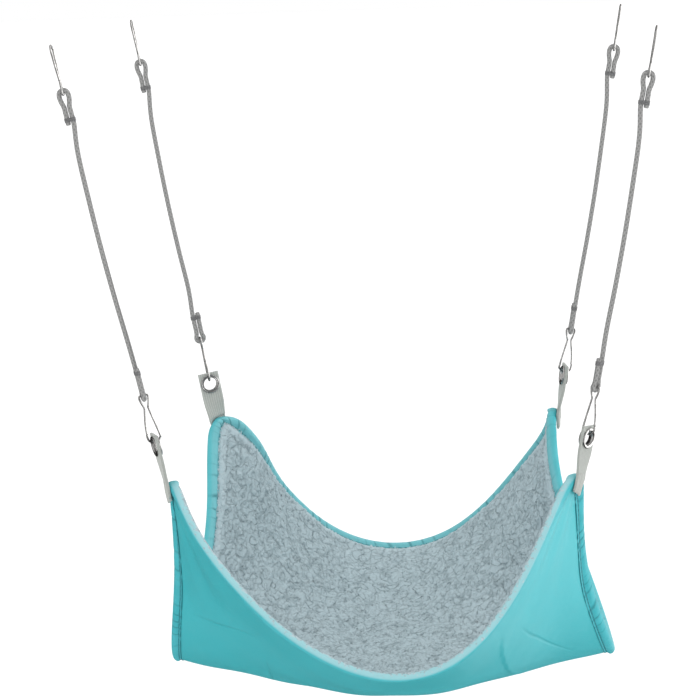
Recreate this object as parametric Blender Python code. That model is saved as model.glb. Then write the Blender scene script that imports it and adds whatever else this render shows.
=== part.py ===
"""Small pet hammock: a lined square sheet slung from four cords with wire snap hooks.

Metres, +Z up, the front is -Y. The origin is the middle of the four points where the upper
hooks hang on the cage roof, so the whole hammock hangs below Z = 0.
"""
import math

import bmesh
import bpy
import numpy as np
from mathutils import Vector

# Sheet as it hangs. Sags are measured down from its sharp corners.
SHEET_SIDE = 0.300            # cut side of the square sheet, binding included
CORNER_RADIUS = 0.022         # rounding of the sheet's corners, measured flat
FRONT_CORNER_HALF = 0.1014    # half the distance between the two front corners
BACK_CORNER_HALF = 0.0917
LEFT_MIDDLE_HALF = 0.1104     # middle of the sheet to the middle of its hollow left side
RIGHT_MIDDLE_HALF = 0.1180
MIDDLE_FALL = 4.5             # how quickly a side draws in from its middle to its corners
SIDE_SAG = 0.1217
CENTRE_SAG = 0.1343
FRONT_SAG = 0.0935
BACK_SAG = 0.1035
FRONT_CURVE = 0.092           # catenary constant of the front edge
BACK_CURVE = 0.030
FRONT_LEAN_SHARE = 0.098      # how far the front edge's lowest point lies to the right
TURN_REACH = 0.040            # how far from its tab a corner's own turn dies away

# Layers of the sheet
CLEARANCE = 0.0003            # gap between pieces that touch
FABRIC = 0.0008
PLUSH = 0.0035
PLUSH_PRESSED = 0.0012        # plush squeezed flat under the binding
TAPE = 0.0007
BINDING_WIDTH = 0.0070
BINDING_GAP = 0.0005          # between the tape's lips and the layers they hold

# Corner tabs and eyelets
TAB_WIDTH = 0.0110
TAB_THICKNESS = 0.0014        # two plies of webbing
TAB_REACH = 0.0189            # middle of the eyelet to the sheet's corner
TAB_SEWN = 0.0090             # length sewn down on the corner
TAB_FOLD = 0.0005             # rounded end beyond the square round the eyelet
BORE_RADIUS = 0.0035
EYELET_WALL = 0.0004
FLANGE_RADIUS = 0.00515

# Cords
CORD_DIAMETER = 0.0024
CORD_SPAN = 0.1544            # top of the upper loop to foot of the lower loop, middle lines
CORD_BOW = 0.0015             # sag of the cord off its straight line
RUN_SHARES = (0.12, 0.3, 0.5, 0.7, 0.88)
UPPER_LOOP_LENGTH = 0.0082
UPPER_LOOP_HALF = 0.0023
UPPER_DOUBLED = 0.0165        # top of the loop to the tail's cut end
LOOP_SHARES = ((0.84, 0.70), (1.0, 0.38), (0.76, 0.10))   # the loop's side: of its half, its length
LOWER_LOOP_LENGTH = 0.0048
LOWER_DOUBLED = 0.0155
STITCH_LENGTH = 0.0022
STITCH_INSET = 0.0010         # tail left free beyond its stitching
STITCH_THREAD = 0.0004

# Snap hooks
WIRE_RADIUS = 0.0005
HOOK_BEND_RADIUS = 0.0032     # middle line of the wire
HOOK_REACH = 0.0234           # inside of the bend to the middle of the eye's base wire
HOOK_NOSE = 0.0013
HOOK_PLAY = 0.0006            # room inside the bend round the eyelet's rim
NECK_HALF = 0.0011
NECK_REACH = 0.0168           # inside of the bend to the narrowest place
EYE_HALF = 0.0023
GATE_SHARES = ((0, 0), (0.22, 0.30), (0.48, 0.66), (0.74, 0.92), (0.90, 1.0), (1, 1))
FRONT_LEFT_SPREAD = 0.0445    # how much further out a hook hangs than its corner
FRONT_RIGHT_SPREAD = 0.0400
BACK_LEFT_SPREAD = 0.0360
BACK_RIGHT_SPREAD = 0.0372

HALF = SHEET_SIDE / 2
FOLD_SHARE = math.sqrt(0.5)   # an arc crosses its corner's diagonal at this share of the radius
BINDING_OUT = FABRIC + BINDING_GAP + TAPE
BINDING_IN = CLEARANCE + PLUSH_PRESSED + BINDING_GAP + TAPE
TAB_OFFSET = BINDING_OUT + CLEARANCE + TAB_THICKNESS / 2
RIM_HALF = TAB_THICKNESS / 2 + CLEARANCE + EYELET_WALL
HOLE_RADIUS = BORE_RADIUS + EYELET_WALL + CLEARANCE
BEND_INSIDE = HOOK_BEND_RADIUS - WIRE_RADIUS
HOLE_EDGE_DROP = math.sqrt((BEND_INSIDE - HOOK_PLAY) ** 2 - RIM_HALF ** 2)
CORD_RADIUS = CORD_DIAMETER / 2
LINK_GAP = WIRE_RADIUS + CLEARANCE + CORD_RADIUS   # eye wire to cord, middle to middle
STRAND_HALF = CORD_RADIUS + CLEARANCE / 2          # two strands lie side by side

# Distances down the sling from the cage bar
UPPER_LINK = HOOK_REACH - LINK_GAP
LOWER_LINK = UPPER_LINK + CORD_SPAN
LOWER_CONTACT = LOWER_LINK - LINK_GAP + HOOK_REACH
LOWER_PIVOT = LOWER_CONTACT - BEND_INSIDE
EYELET_PLACE = LOWER_PIVOT + HOLE_EDGE_DROP + BORE_RADIUS
SLING_LENGTH = EYELET_PLACE + TAB_REACH

LINE_SHARES = (0.0, 0.14, 0.28, 0.42, 0.57, 0.72, 0.87)  # grid lines, sheet's middle to its corner arcs
HOLE_SIDES = 24
ARC_STEPS = 8
SLOPE_SHARE = 0.0001          # half step of the slope measured for the sheet's normal
ARC_SHARE = 1 - (1 - FOLD_SHARE) * CORNER_RADIUS / HALF    # the rounded corner's middle

# Name, side along X, side along Y, turn of the tab's face towards the front or back, turn of
# the sheet's corner under it, both in degrees, and the hook's spread
CORNERS = (("front_left", -1, -1, 20, -6, FRONT_LEFT_SPREAD),
           ("front_right", 1, -1, 35, -3, FRONT_RIGHT_SPREAD),
           ("back_left", -1, 1, 75, -29, BACK_LEFT_SPREAD),
           ("back_right", 1, 1, 10, -19, BACK_RIGHT_SPREAD))


def make_material(name, color, roughness, metallic=0.0):
    material = bpy.data.materials.new(name)
    material.use_nodes = True
    shader = material.node_tree.nodes["Principled BSDF"]
    shader.inputs["Base Color"].default_value = (*color, 1)
    shader.inputs["Roughness"].default_value = roughness
    shader.inputs["Metallic"].default_value = metallic
    return material


def add_solid(name, origin, points, faces, material):
    """Closed mesh from world points, with its object's origin at the given place."""
    mesh = bpy.data.meshes.new(name)
    local = np.asarray(points, dtype=float).reshape(-1, 3) - np.array(origin)
    mesh.from_pydata(local.tolist(), [], faces)
    work = bmesh.new()
    work.from_mesh(mesh)
    bmesh.ops.recalc_face_normals(work, faces=work.faces)
    work.to_mesh(mesh)
    work.free()
    mesh.shade_smooth()
    mesh.set_sharp_from_angle(angle=math.radians(40))
    mesh.materials.append(material)
    piece = bpy.data.objects.new(name, mesh)
    piece.location = origin
    bpy.context.scene.collection.objects.link(piece)
    return piece


def add_round_wire(name, origin, points, radius, resolution, material):
    """Tube of even thickness along world points, with filled ends."""
    curve = bpy.data.curves.new(name, "CURVE")
    curve.dimensions = "3D"
    curve.bevel_depth = radius
    curve.bevel_resolution = resolution
    curve.use_fill_caps = True
    line = curve.splines.new("POLY")
    line.points.add(len(points) - 1)
    for spot, point in zip(line.points, points):
        spot.co = (*(Vector(point) - Vector(origin)), 1)
    curve.materials.append(material)
    piece = bpy.data.objects.new(name, curve)
    piece.location = origin
    bpy.context.scene.collection.objects.link(piece)
    return piece


def ring_faces(stations, sections):
    """Quads of a closed tube: a loop of stations, each with a closed loop of points."""
    return [(k * sections + m, k * sections + (m + 1) % sections,
             (k + 1) % stations * sections + (m + 1) % sections, (k + 1) % stations * sections + m)
            for k in range(stations) for m in range(sections)]


def round_corners(u, v):
    """Pull the corners of the square -1..1 on to arcs of the corner radius."""
    share = CORNER_RADIUS / HALF
    past_u = np.clip((np.abs(u) - (1 - share)) / share, 0, None)
    past_v = np.clip((np.abs(v) - (1 - share)) / share, 0, None)
    round_u = past_u * np.sqrt(np.clip(1 - past_v ** 2 / 2, 0, None))
    round_v = past_v * np.sqrt(np.clip(1 - past_u ** 2 / 2, 0, None))
    return (np.sign(u) * (np.abs(u) + share * (round_u - past_u)),
            np.sign(v) * (np.abs(v) + share * (round_v - past_v)))


def even_sheet(u, v):
    """Middle surface of the sheet before its corners are turned, its sharp corners at Z = 0.

    Each line from front to back is a catenary of the sheet's own length, measured along
    itself by v, hung from the front and back edges down to the keel line at v = 0.
    """
    lean = np.where(v < 0, FRONT_LEAN_SHARE, 0)
    curve = np.where(v < 0, FRONT_CURVE, BACK_CURVE)
    sag = np.where(v < 0, FRONT_SAG, BACK_SAG)
    along = HALF * (u - lean * (1 - u ** 2) ** 2)
    rise = (np.hypot(curve, along) - curve) / (np.hypot(curve, HALF) - curve)
    keel = -CENTRE_SAG + (CENTRE_SAG - SIDE_SAG) * u ** 2
    drop = -sag * (1 - rise) - keel
    bend = (HALF ** 2 - drop ** 2) / (2 * drop)
    length = HALF * np.abs(v)
    z = keel + np.hypot(bend, length) - bend
    y = np.sign(v) * bend * np.arcsinh(length / bend)
    mean_half = (FRONT_CORNER_HALF + BACK_CORNER_HALF) / 2
    taper = (BACK_CORNER_HALF - FRONT_CORNER_HALF) / 2
    middle = (LEFT_MIDDLE_HALF * (1 - u) + RIGHT_MIDDLE_HALF * (1 + u)) / 2
    fall = np.clip(1 - v ** 2, 0, None) ** MIDDLE_FALL
    width = mean_half + taper * v + (middle - mean_half) * fall
    gathered = np.arcsinh(HALF * u / curve) / np.arcsinh(HALF / curve)
    x = width * (u + (gathered - u) * v ** 2)
    return np.stack([x, y, z], axis=-1)


def hanging_sheet(u, v):
    """The sheet with each corner turned about the upright line through its tab."""
    points = even_sheet(u, v)
    for _, side_x, side_y, _, corner_turn, _ in CORNERS:
        pin = even_sheet(np.array(side_x * ARC_SHARE), np.array(side_y * ARC_SHARE))
        away = HALF * np.hypot(u - side_x * ARC_SHARE, v - side_y * ARC_SHARE)
        angle = math.radians(corner_turn) * np.exp(-(away / TURN_REACH) ** 2)
        x, y = points[..., 0] - pin[0], points[..., 1] - pin[1]
        points = np.stack([pin[0] + x * np.cos(angle) - y * np.sin(angle),
                           pin[1] + x * np.sin(angle) + y * np.cos(angle),
                           points[..., 2]], axis=-1)
    return points


def sheet_slopes(u, v):
    """Change of the hanging sheet with u and with v, and its normal on the plush side."""
    along_u = hanging_sheet(u + SLOPE_SHARE, v) - hanging_sheet(u - SLOPE_SHARE, v)
    along_v = hanging_sheet(u, v + SLOPE_SHARE) - hanging_sheet(u, v - SLOPE_SHARE)
    normal = np.cross(along_u, along_v)
    normal /= np.linalg.norm(normal, axis=-1, keepdims=True)
    return along_u / (2 * SLOPE_SHARE), along_v / (2 * SLOPE_SHARE), normal


def tab_foot(side_x, side_y):
    """Where a tab's middle layer crosses its rounded corner, before the sheet is hung."""
    place = np.array([side_x * ARC_SHARE]), np.array([side_y * ARC_SHARE])
    return (hanging_sheet(*place) - sheet_slopes(*place)[2] * TAB_OFFSET)[0]


def sling_drop(spread):
    return math.sqrt(SLING_LENGTH ** 2 - spread ** 2)


LIFTS = [(side_x, side_y, -sling_drop(spread) - tab_foot(side_x, side_y)[2])
         for _, side_x, side_y, _, _, spread in CORNERS]


def sheet_at(u, v, offset):
    """Point of the hung sheet, moved off its middle surface towards the plush side."""
    u, v, offset = np.broadcast_arrays(u, v, offset)
    points = hanging_sheet(u, v) + sheet_slopes(u, v)[2] * offset[..., None]
    for side_x, side_y, lift in LIFTS:
        points[..., 2] += lift * (1 + side_x * u / ARC_SHARE) * (1 + side_y * v / ARC_SHARE) / 4
    return points


def layer_lines(edge):
    """Grid lines across a layer of the sheet, closest together in its rounded corners."""
    outer = [1 - CORNER_RADIUS / HALF, 1 - (CORNER_RADIUS + BINDING_WIDTH) / 2 / HALF,
             1 - BINDING_WIDTH / HALF, 1 - edge / HALF]
    ahead = [share * outer[0] for share in LINE_SHARES] + outer
    return np.array([-line for line in reversed(ahead[1:])] + ahead)


def add_layer(name, origin, low, high, material):
    """One layer of the sheet as a thin closed shell between two offset surfaces.

    The cells of its rim are split along the same diagonals as the binding's inner wall.
    """
    lines = layer_lines(TAPE + CLEARANCE)
    count = len(lines)
    across, deep = np.meshgrid(lines, lines, indexing="ij")
    reach = np.maximum(np.abs(across), np.abs(deep))
    u, v = round_corners(across, deep)
    points = np.concatenate([sheet_at(u, v, low(reach)).reshape(-1, 3),
                             sheet_at(u, v, high(reach)).reshape(-1, 3)])
    spot = np.arange(count * count).reshape(count, count)
    halves = [np.stack([spot[:-1, :-1], spot[1:, :-1], spot[1:, 1:]], axis=-1),
              np.stack([spot[:-1, :-1], spot[1:, 1:], spot[:-1, 1:]], axis=-1)]
    bottom = np.concatenate(halves).reshape(-1, 3)
    top = bottom[:, ::-1] + count * count
    rim = np.concatenate([spot[:-1, 0], spot[-1, :-1], spot[:0:-1, -1], spot[0, :0:-1]])
    after = np.roll(rim, -1)
    above, above_after = rim + count * count, after + count * count
    front_or_back = np.arange(len(rim)) // (count - 1) % 2 == 0
    wall = np.concatenate([
        np.stack([rim, after, np.where(front_or_back, above_after, above)], axis=-1),
        np.stack([np.where(front_or_back, rim, after), above_after, above], axis=-1)])
    faces = top.tolist() + bottom.tolist() + wall.tolist()
    return add_solid(name, origin, points, faces, material)


def add_binding(name, origin, material):
    """Tape folded over the sheet's raw edge, one U section carried round all four sides."""
    lines = layer_lines(TAPE + CLEARANCE)
    corner_from = 1 - CORNER_RADIUS / HALF
    corner_share = CORNER_RADIUS / HALF
    edge = lines[-1]
    fold = TAPE / 2
    section = ((BINDING_WIDTH, -BINDING_OUT), (fold, -BINDING_OUT), (0, fold - BINDING_OUT),
               (0, BINDING_IN - fold), (fold, BINDING_IN), (BINDING_WIDTH, BINDING_IN),
               (BINDING_WIDTH, BINDING_IN - TAPE), (TAPE, BINDING_IN - TAPE),
               (TAPE, TAPE - BINDING_OUT), (BINDING_WIDTH, TAPE - BINDING_OUT))
    loops = []
    for inset, offset in section:
        level = 1 - inset / HALF
        past = np.clip((np.abs(lines) - corner_from) / (edge - corner_from), 0, 1)
        depth = (level - corner_from) / corner_share
        along = np.where(past > 0, np.sign(lines) * (corner_from + corner_share * depth * past),
                         lines)
        across = np.concatenate([along[:-1], np.full(len(lines) - 1, level),
                                 along[:0:-1], np.full(len(lines) - 1, -level)])
        deep = np.concatenate([np.full(len(lines) - 1, -level), along[:-1],
                               np.full(len(lines) - 1, level), along[:0:-1]])
        loops.append(sheet_at(*round_corners(across, deep), offset))
    points = np.stack(loops, axis=1)
    stations = points.shape[0]
    faces = []
    for k, (a, b, c, d) in enumerate(ring_faces(stations, len(section))):
        station, spot = divmod(k, len(section))
        inwards = section[spot][0] < section[(spot + 1) % len(section)][0]
        front_or_back = station // (len(lines) - 1) % 2 == 0
        faces += [(a, b, c), (a, c, d)] if inwards == front_or_back else [(a, b, d), (b, c, d)]
    return add_solid(name, origin, points, faces, material)


class Sling:
    """Place and directions of one cord with its hooks, from the cage bar to the corner."""

    def __init__(self, name, side_x, side_y, tab_turn, _, spread):
        foot = tab_foot(side_x, side_y)
        drop = sling_drop(spread)
        self.name = name
        self.sides = (side_x, side_y)
        self.hand = side_x * side_y
        self.bar = Vector((foot[0] + side_x * spread, foot[1], 0))
        self.down = Vector((-side_x * spread, 0, -drop)).normalized()
        self.out = Vector((side_x * drop, 0, -spread)).normalized()
        self.deep = Vector((0, side_y, 0))
        angle = math.radians(tab_turn)
        self.face = self.out * math.cos(angle) + self.deep * math.sin(angle)
        self.wide = self.deep * math.cos(angle) - self.out * math.sin(angle)

    def at(self, reach, side=0, direction=None):
        point = self.bar + self.down * reach
        return point if direction is None else point + direction * side


def hook_outline():
    """Wire of a snap hook as pairs: reach from the inside of the bend, and side."""
    centre = HOOK_BEND_RADIUS - WIRE_RADIUS
    bend = [(centre - HOOK_BEND_RADIUS * math.sin(math.pi * k / ARC_STEPS),
             HOOK_BEND_RADIUS * math.cos(math.pi * k / ARC_STEPS)) for k in range(ARC_STEPS + 1)]
    corner = EYE_HALF / 3
    leg = [(NECK_REACH - corner, -NECK_HALF), (NECK_REACH + corner, -NECK_HALF)]
    waist = HOOK_REACH - LINK_GAP - CORD_RADIUS
    eye = [(waist, -EYE_HALF + corner / 2), (HOOK_REACH - corner, -EYE_HALF),
           (HOOK_REACH, -EYE_HALF + corner), (HOOK_REACH, EYE_HALF - corner),
           (HOOK_REACH - corner, EYE_HALF), (waist, EYE_HALF - corner / 2),
           (NECK_REACH + corner, NECK_HALF), (NECK_REACH, NECK_HALF)]
    return [(centre + HOOK_NOSE, HOOK_BEND_RADIUS)] + bend + leg + eye


GATE_ROOT = NECK_REACH - CLEARANCE / 2


def gate_outline():
    """Sprung leg from its root at the neck to the hook's nose, bowed a little outwards."""
    tip = HOOK_BEND_RADIUS - WIRE_RADIUS + HOOK_NOSE + CLEARANCE
    length = GATE_ROOT - CLEARANCE / 2 - tip
    tip_side = HOOK_BEND_RADIUS - WIRE_RADIUS / 2
    return [(tip + length * (1 - along), NECK_HALF + (tip_side - NECK_HALF) * out)
            for along, out in GATE_SHARES]


def add_hook_pair(sling, place, start, sense, direction, origin, steel):
    """Hook body and gate. The reach runs from the inside of the bend towards the cord."""
    def spot(pair):
        return sling.at(start + sense * pair[0], pair[1], direction)

    add_round_wire(f"{place}_hook_{sling.name}", origin, [spot(p) for p in hook_outline()],
                   WIRE_RADIUS, 1, steel)
    root = spot((GATE_ROOT, NECK_HALF))
    add_round_wire(f"{place}_gate_{sling.name}", root, [spot(p) for p in gate_outline()],
                   WIRE_RADIUS, 1, steel)


def smooth_line(points, step):
    """Points a step apart along a smooth curve through the given points."""
    route = [Vector(p) for p in points]
    route = [route[0] * 2 - route[1]] + route + [route[-1] * 2 - route[-2]]
    line = [route[1]]
    for before, first, second, after in zip(route, route[1:], route[2:], route[3:]):
        count = max(1, round((second - first).length / step))
        for k in range(1, count + 1):
            t = k / count
            line.append(0.5 * (2 * first + (second - before) * t
                               + (2 * before - 5 * first + 4 * second - after) * t ** 2
                               + (3 * first - before - 3 * second + after) * t ** 3))
    return line


def loop_points(bends, length, doubled):
    """One end of a cord as side and reach pairs: tail, round the loop's tip, and back.

    The bends are the loop's own pairs between the doubled strands and the tip.
    """
    half = [(STRAND_HALF, doubled), (STRAND_HALF, (length + doubled) / 2), (STRAND_HALF, length)]
    half += bends
    return half + [(0, 0)] + [(-side, reach) for side, reach in reversed(half)]


def cord_route(sling):
    """The cord's middle line: tail, upper loop, long run, lower loop, tail."""
    upper_bends = [(UPPER_LOOP_HALF * wide, UPPER_LOOP_LENGTH * far) for wide, far in LOOP_SHARES]
    head = [sling.at(UPPER_LINK + reach, side, sling.out)
            for side, reach in loop_points(upper_bends, UPPER_LOOP_LENGTH, UPPER_DOUBLED)]
    begin = UPPER_LINK + UPPER_DOUBLED
    finish = LOWER_LINK - LOWER_DOUBLED
    run = [sling.at(begin + (finish - begin) * share, CORD_BOW * math.sin(math.pi * share),
                    sling.out) for share in RUN_SHARES]
    lower_bends = [(LINK_GAP, LINK_GAP), (LINK_GAP * FOLD_SHARE, LINK_GAP * (1 - FOLD_SHARE))]
    foot = [sling.at(LOWER_LINK - reach, -side, sling.wide)
            for side, reach in loop_points(lower_bends, LOWER_LOOP_LENGTH, LOWER_DOUBLED)]
    return (smooth_line(head, CORD_DIAMETER)[:-1]
            + smooth_line([head[-1]] + run + [foot[0]], 3 * CORD_DIAMETER)[:-1]
            + smooth_line(foot, CORD_DIAMETER))


def add_stitching(name, origin, centre, down, side, depth, material):
    """Band of thread wound round the two strands: a ring with straight sides."""
    inner = CORD_RADIUS + CLEARANCE
    outer = inner + STITCH_THREAD
    count = 2 * ARC_STEPS
    points = []
    for k in range(count):
        angle = 2 * math.pi * (k + 0.5) / count
        shift = math.copysign(STRAND_HALF, math.cos(angle))
        for radius, along in ((inner, -1), (outer, -1), (outer, 1), (inner, 1)):
            points.append(centre + side * (shift + radius * math.cos(angle))
                          + depth * radius * math.sin(angle) + down * along * STITCH_LENGTH / 2)
    add_solid(name, origin, points, ring_faces(count, 4), material)


def turned_ring(centre, axis, side, profile):
    """Points of a profile of radius and height pairs turned about an axis."""
    across = axis.cross(side)
    return [centre + axis * height + (side * math.cos(angle) + across * math.sin(angle)) * radius
            for angle in [2 * math.pi * k / HOLE_SIDES for k in range(HOLE_SIDES)]
            for radius, height in profile]


def add_eyelet(sling, origin, brass):
    """Barrel with its flange on the outer face, and the washer it is closed on at the back."""
    centre = sling.at(EYELET_PLACE)
    under = RIM_HALF - EYELET_WALL
    barrel = ((BORE_RADIUS, -RIM_HALF), (BORE_RADIUS, RIM_HALF),
              (FLANGE_RADIUS - EYELET_WALL / 2, RIM_HALF), (FLANGE_RADIUS, under),
              (BORE_RADIUS + EYELET_WALL, under), (BORE_RADIUS + EYELET_WALL, -RIM_HALF))
    add_solid(f"eyelet_{sling.name}", origin,
              turned_ring(centre, sling.face, sling.wide, barrel),
              ring_faces(HOLE_SIDES, len(barrel)), brass)
    washer = ((HOLE_RADIUS, -RIM_HALF), (FLANGE_RADIUS - EYELET_WALL / 2, -RIM_HALF),
              (FLANGE_RADIUS, -under), (HOLE_RADIUS, -under))
    add_solid(f"eyelet_washer_{sling.name}", origin,
              turned_ring(centre, sling.face, sling.wide, washer),
              ring_faces(HOLE_SIDES, len(washer)), brass)


def tab_point(sling, reach, side, height):
    """Point of a tab: reach down from the eyelet's middle, side across, height outwards.

    It hangs straight to the sheet's corner, turning to lie flat on it, and is then sewn
    down along the corner's diagonal.
    """
    u, v = (side * ARC_SHARE for side in sling.sides)
    slope_u, slope_v, normal = (row[0] for row in sheet_slopes(np.array([u]), np.array([v])))
    inward = -(slope_u * sling.sides[0] + slope_v * sling.sides[1])
    inward /= np.linalg.norm(inward)
    lateral = np.cross(inward, normal) * sling.hand
    if reach >= TAB_REACH:
        wanted = inward * (reach - TAB_REACH) + lateral * side
        step_u, step_v = np.linalg.lstsq(np.stack([slope_u, slope_v], axis=1), wanted, rcond=None)[0]
        return Vector(sheet_at(u + step_u, v + step_v, -TAB_OFFSET - height))
    straight = TAB_WIDTH / 2
    share = max(0, (reach - straight) / (TAB_REACH - straight))
    wide = sling.wide.lerp(Vector(lateral), share * share * (3 - 2 * share))
    wide = (wide - sling.down * wide.dot(sling.down)).normalized()
    face = sling.down.cross(wide) * sling.hand
    return sling.at(EYELET_PLACE + reach) + wide * side + face * height


def add_tab(sling, origin, webbing):
    """Webbing folded double: a ring of cells round the eyelet's hole, then rows to its end."""
    half = TAB_WIDTH / 2
    thick = TAB_THICKNESS / 2
    flat = []
    for k in range(HOLE_SIDES):
        angle = 2 * math.pi * k / HOLE_SIDES
        side, reach = math.cos(angle), math.sin(angle)
        flat.append((HOLE_RADIUS * reach, HOLE_RADIUS * side))
        grow = half / max(abs(side), abs(reach))
        flat.append((grow * reach, grow * side))
    below = [(2 * k + 1) % (2 * HOLE_SIDES) for k in range(HOLE_SIDES // 8, HOLE_SIDES * 3 // 8 + 1)]
    above = [2 * k + 1 for k in range(HOLE_SIDES * 5 // 8, HOLE_SIDES * 7 // 8 + 1)]
    cells = [(2 * k, 2 * k + 1, (2 * k + 3) % (2 * HOLE_SIDES), (2 * k + 2) % (2 * HOLE_SIDES))
             for k in range(HOLE_SIDES)]
    sides = [flat[spot][1] for spot in below]
    reaches = [half + (TAB_REACH - half) * k / 4 for k in range(1, 5)]
    reaches += [TAB_REACH + TAB_SEWN * k / 2 for k in (1, 2)]
    row = below
    for reach in reaches:
        new = [len(flat) + k for k in range(len(sides))]
        flat += [(reach, side) for side in sides]
        cells += [(row[k], new[k], new[k + 1], row[k + 1]) for k in range(len(row) - 1)]
        row = new
    count = len(flat)
    points = [tab_point(sling, reach, side, thick) for reach, side in flat]
    points += [tab_point(sling, reach, side, -thick) for reach, side in flat]
    faces = list(cells) + [tuple(count + spot for spot in reversed(cell)) for cell in cells]
    edges = {pair for cell in cells for pair in zip(cell, cell[1:] + cell[:1])}
    crown = [len(points) + k for k in range(len(above))]
    points += [tab_point(sling, -half - TAB_FOLD, flat[spot][1], 0) for spot in above]
    fold = dict(zip(above, crown))
    for first, second in sorted(edges):
        if (second, first) in edges:
            continue
        if first in fold and second in fold:
            faces.append((second, first, fold[first], fold[second]))
            faces.append((fold[second], fold[first], count + first, count + second))
        else:
            faces.append((second, first, count + first, count + second))
    for end in (above[0], above[-1]):
        faces.append((end, fold[end], count + end))
    add_solid(f"tab_{sling.name}", origin, points, faces, webbing)


def main():
    for thing in list(bpy.data.objects):
        bpy.data.objects.remove(thing)
    turquoise = make_material("turquoise_polyester", (0.07, 0.46, 0.50), 0.45)
    tape = make_material("turquoise_tape", (0.12, 0.55, 0.60), 0.5)
    plush = make_material("grey_plush", (0.36, 0.44, 0.49), 0.95)
    webbing = make_material("grey_webbing", (0.50, 0.52, 0.50), 0.7)
    cord = make_material("grey_cord", (0.28, 0.28, 0.28), 0.7)
    thread = make_material("dark_thread", (0.08, 0.08, 0.08), 0.6)
    steel = make_material("plated_steel", (0.75, 0.75, 0.73), 0.2, 1.0)

    slings = [Sling(*corner) for corner in CORNERS]
    pivot = slings[0].at(LOWER_PIVOT)
    pressed = 1 - BINDING_WIDTH / HALF - SLOPE_SHARE
    add_layer("outer_fabric", pivot, lambda reach: np.full_like(reach, -FABRIC),
              np.zeros_like, turquoise)
    add_layer("plush_lining", pivot, lambda reach: np.full_like(reach, CLEARANCE),
              lambda reach: CLEARANCE + np.where(reach > pressed, PLUSH_PRESSED, PLUSH), plush)
    add_binding("edge_binding", pivot, tape)
    for sling in slings:
        add_tab(sling, pivot, webbing)
        add_eyelet(sling, pivot, steel)
        link = sling.at(UPPER_LINK)
        add_round_wire(f"cord_{sling.name}", link, cord_route(sling), CORD_RADIUS, 2, cord)
        seam = UPPER_LINK + UPPER_DOUBLED - STITCH_INSET - STITCH_LENGTH / 2
        add_stitching(f"upper_stitching_{sling.name}", link, sling.at(seam), sling.down,
                      sling.out, sling.deep, thread)
        seam = LOWER_LINK - LOWER_DOUBLED + STITCH_INSET + STITCH_LENGTH / 2
        add_stitching(f"lower_stitching_{sling.name}", link, sling.at(seam), sling.down,
                      sling.wide, sling.face, thread)
        add_hook_pair(sling, "upper", 0, 1, sling.deep, sling.bar, steel)
        add_hook_pair(sling, "lower", LOWER_CONTACT, -1, sling.face, link, steel)


main()
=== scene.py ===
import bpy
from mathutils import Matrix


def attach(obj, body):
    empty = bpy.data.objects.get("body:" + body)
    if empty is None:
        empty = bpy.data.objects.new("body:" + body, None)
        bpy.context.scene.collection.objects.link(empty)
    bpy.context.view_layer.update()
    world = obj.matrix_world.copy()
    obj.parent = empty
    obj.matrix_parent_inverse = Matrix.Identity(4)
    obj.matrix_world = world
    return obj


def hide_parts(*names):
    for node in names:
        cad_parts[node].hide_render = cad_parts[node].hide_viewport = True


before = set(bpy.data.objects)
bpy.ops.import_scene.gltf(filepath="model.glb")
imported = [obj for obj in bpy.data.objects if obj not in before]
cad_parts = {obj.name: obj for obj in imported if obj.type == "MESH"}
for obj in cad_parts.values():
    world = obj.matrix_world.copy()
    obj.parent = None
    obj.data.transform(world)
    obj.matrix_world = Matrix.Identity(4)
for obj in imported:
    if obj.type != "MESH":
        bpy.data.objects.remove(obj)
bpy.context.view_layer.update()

import math

import bpy
import numpy as np
from mathutils import Matrix, Vector

# The photographer's camera: a long lens, a little to the right of the hammock and above it,
# looking slightly down into the sheet.
CAMERA_PLACE = Vector((0.0738, -1.3808, 0.0990))
CAMERA_YAW, CAMERA_PITCH, CAMERA_ROLL = 0.0632, -0.1887, -0.0373
CAMERA_LENS, CAMERA_SENSOR, CAMERA_REACH = 141.8, 36, 100

ahead = Vector((-math.sin(CAMERA_YAW) * math.cos(CAMERA_PITCH),
                math.cos(CAMERA_YAW) * math.cos(CAMERA_PITCH), math.sin(CAMERA_PITCH)))
level = Vector((math.cos(CAMERA_YAW), math.sin(CAMERA_YAW), 0))
upward = level.cross(ahead)
across = level * math.cos(CAMERA_ROLL) + upward * math.sin(CAMERA_ROLL)
tall = upward * math.cos(CAMERA_ROLL) - level * math.sin(CAMERA_ROLL)
camera = bpy.data.objects.new("camera", bpy.data.cameras.new("camera"))
camera.data.lens = CAMERA_LENS
camera.data.sensor_width = CAMERA_SENSOR
camera.data.clip_end = CAMERA_REACH
camera.matrix_world = (Matrix.Translation(CAMERA_PLACE)
                       @ Matrix((across, tall, -ahead)).transposed().to_4x4())
bpy.context.scene.collection.objects.link(camera)
bpy.context.scene.camera = camera


# The studio: a white floor far below the hanging sheet, soft light from all round, a bright
# panel on the right that the polyester and the plating mirror, and dark gaps beside it.
FLOOR_HEIGHT, FLOOR_HALF = -2.0, 30
FLOOR_ROUGHNESS, FLOOR_GLOW = 0.9, 0.10
WHITE, FLOOR_COLOR = (1, 1, 1, 1), (0.95, 0.95, 0.95, 1)
KEY_POWER, KEY_SIZE = 4, 1.4
KEY_PLACE, KEY_AIM = Vector((1.9, -1.9, 0.9)), Vector((0, 0, -0.25))
SOFT_LIGHT, SOFT_FROM_ABOVE, SOFT_FROM_RIGHT, SOFT_FROM_BEHIND = 1.07, 0.08, 0.03, -0.05
STRIPE_SLANT, STRIPE_RISE, STRIPE_EDGES = 3.1, 0.7, (-0.05, 0.50)
GAP_LIGHT, STRIPE_LIGHT = 0.03, 0.95
PANEL_LIGHT, PANEL_EDGES = 3.0, (0.55, 1.0)


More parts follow.
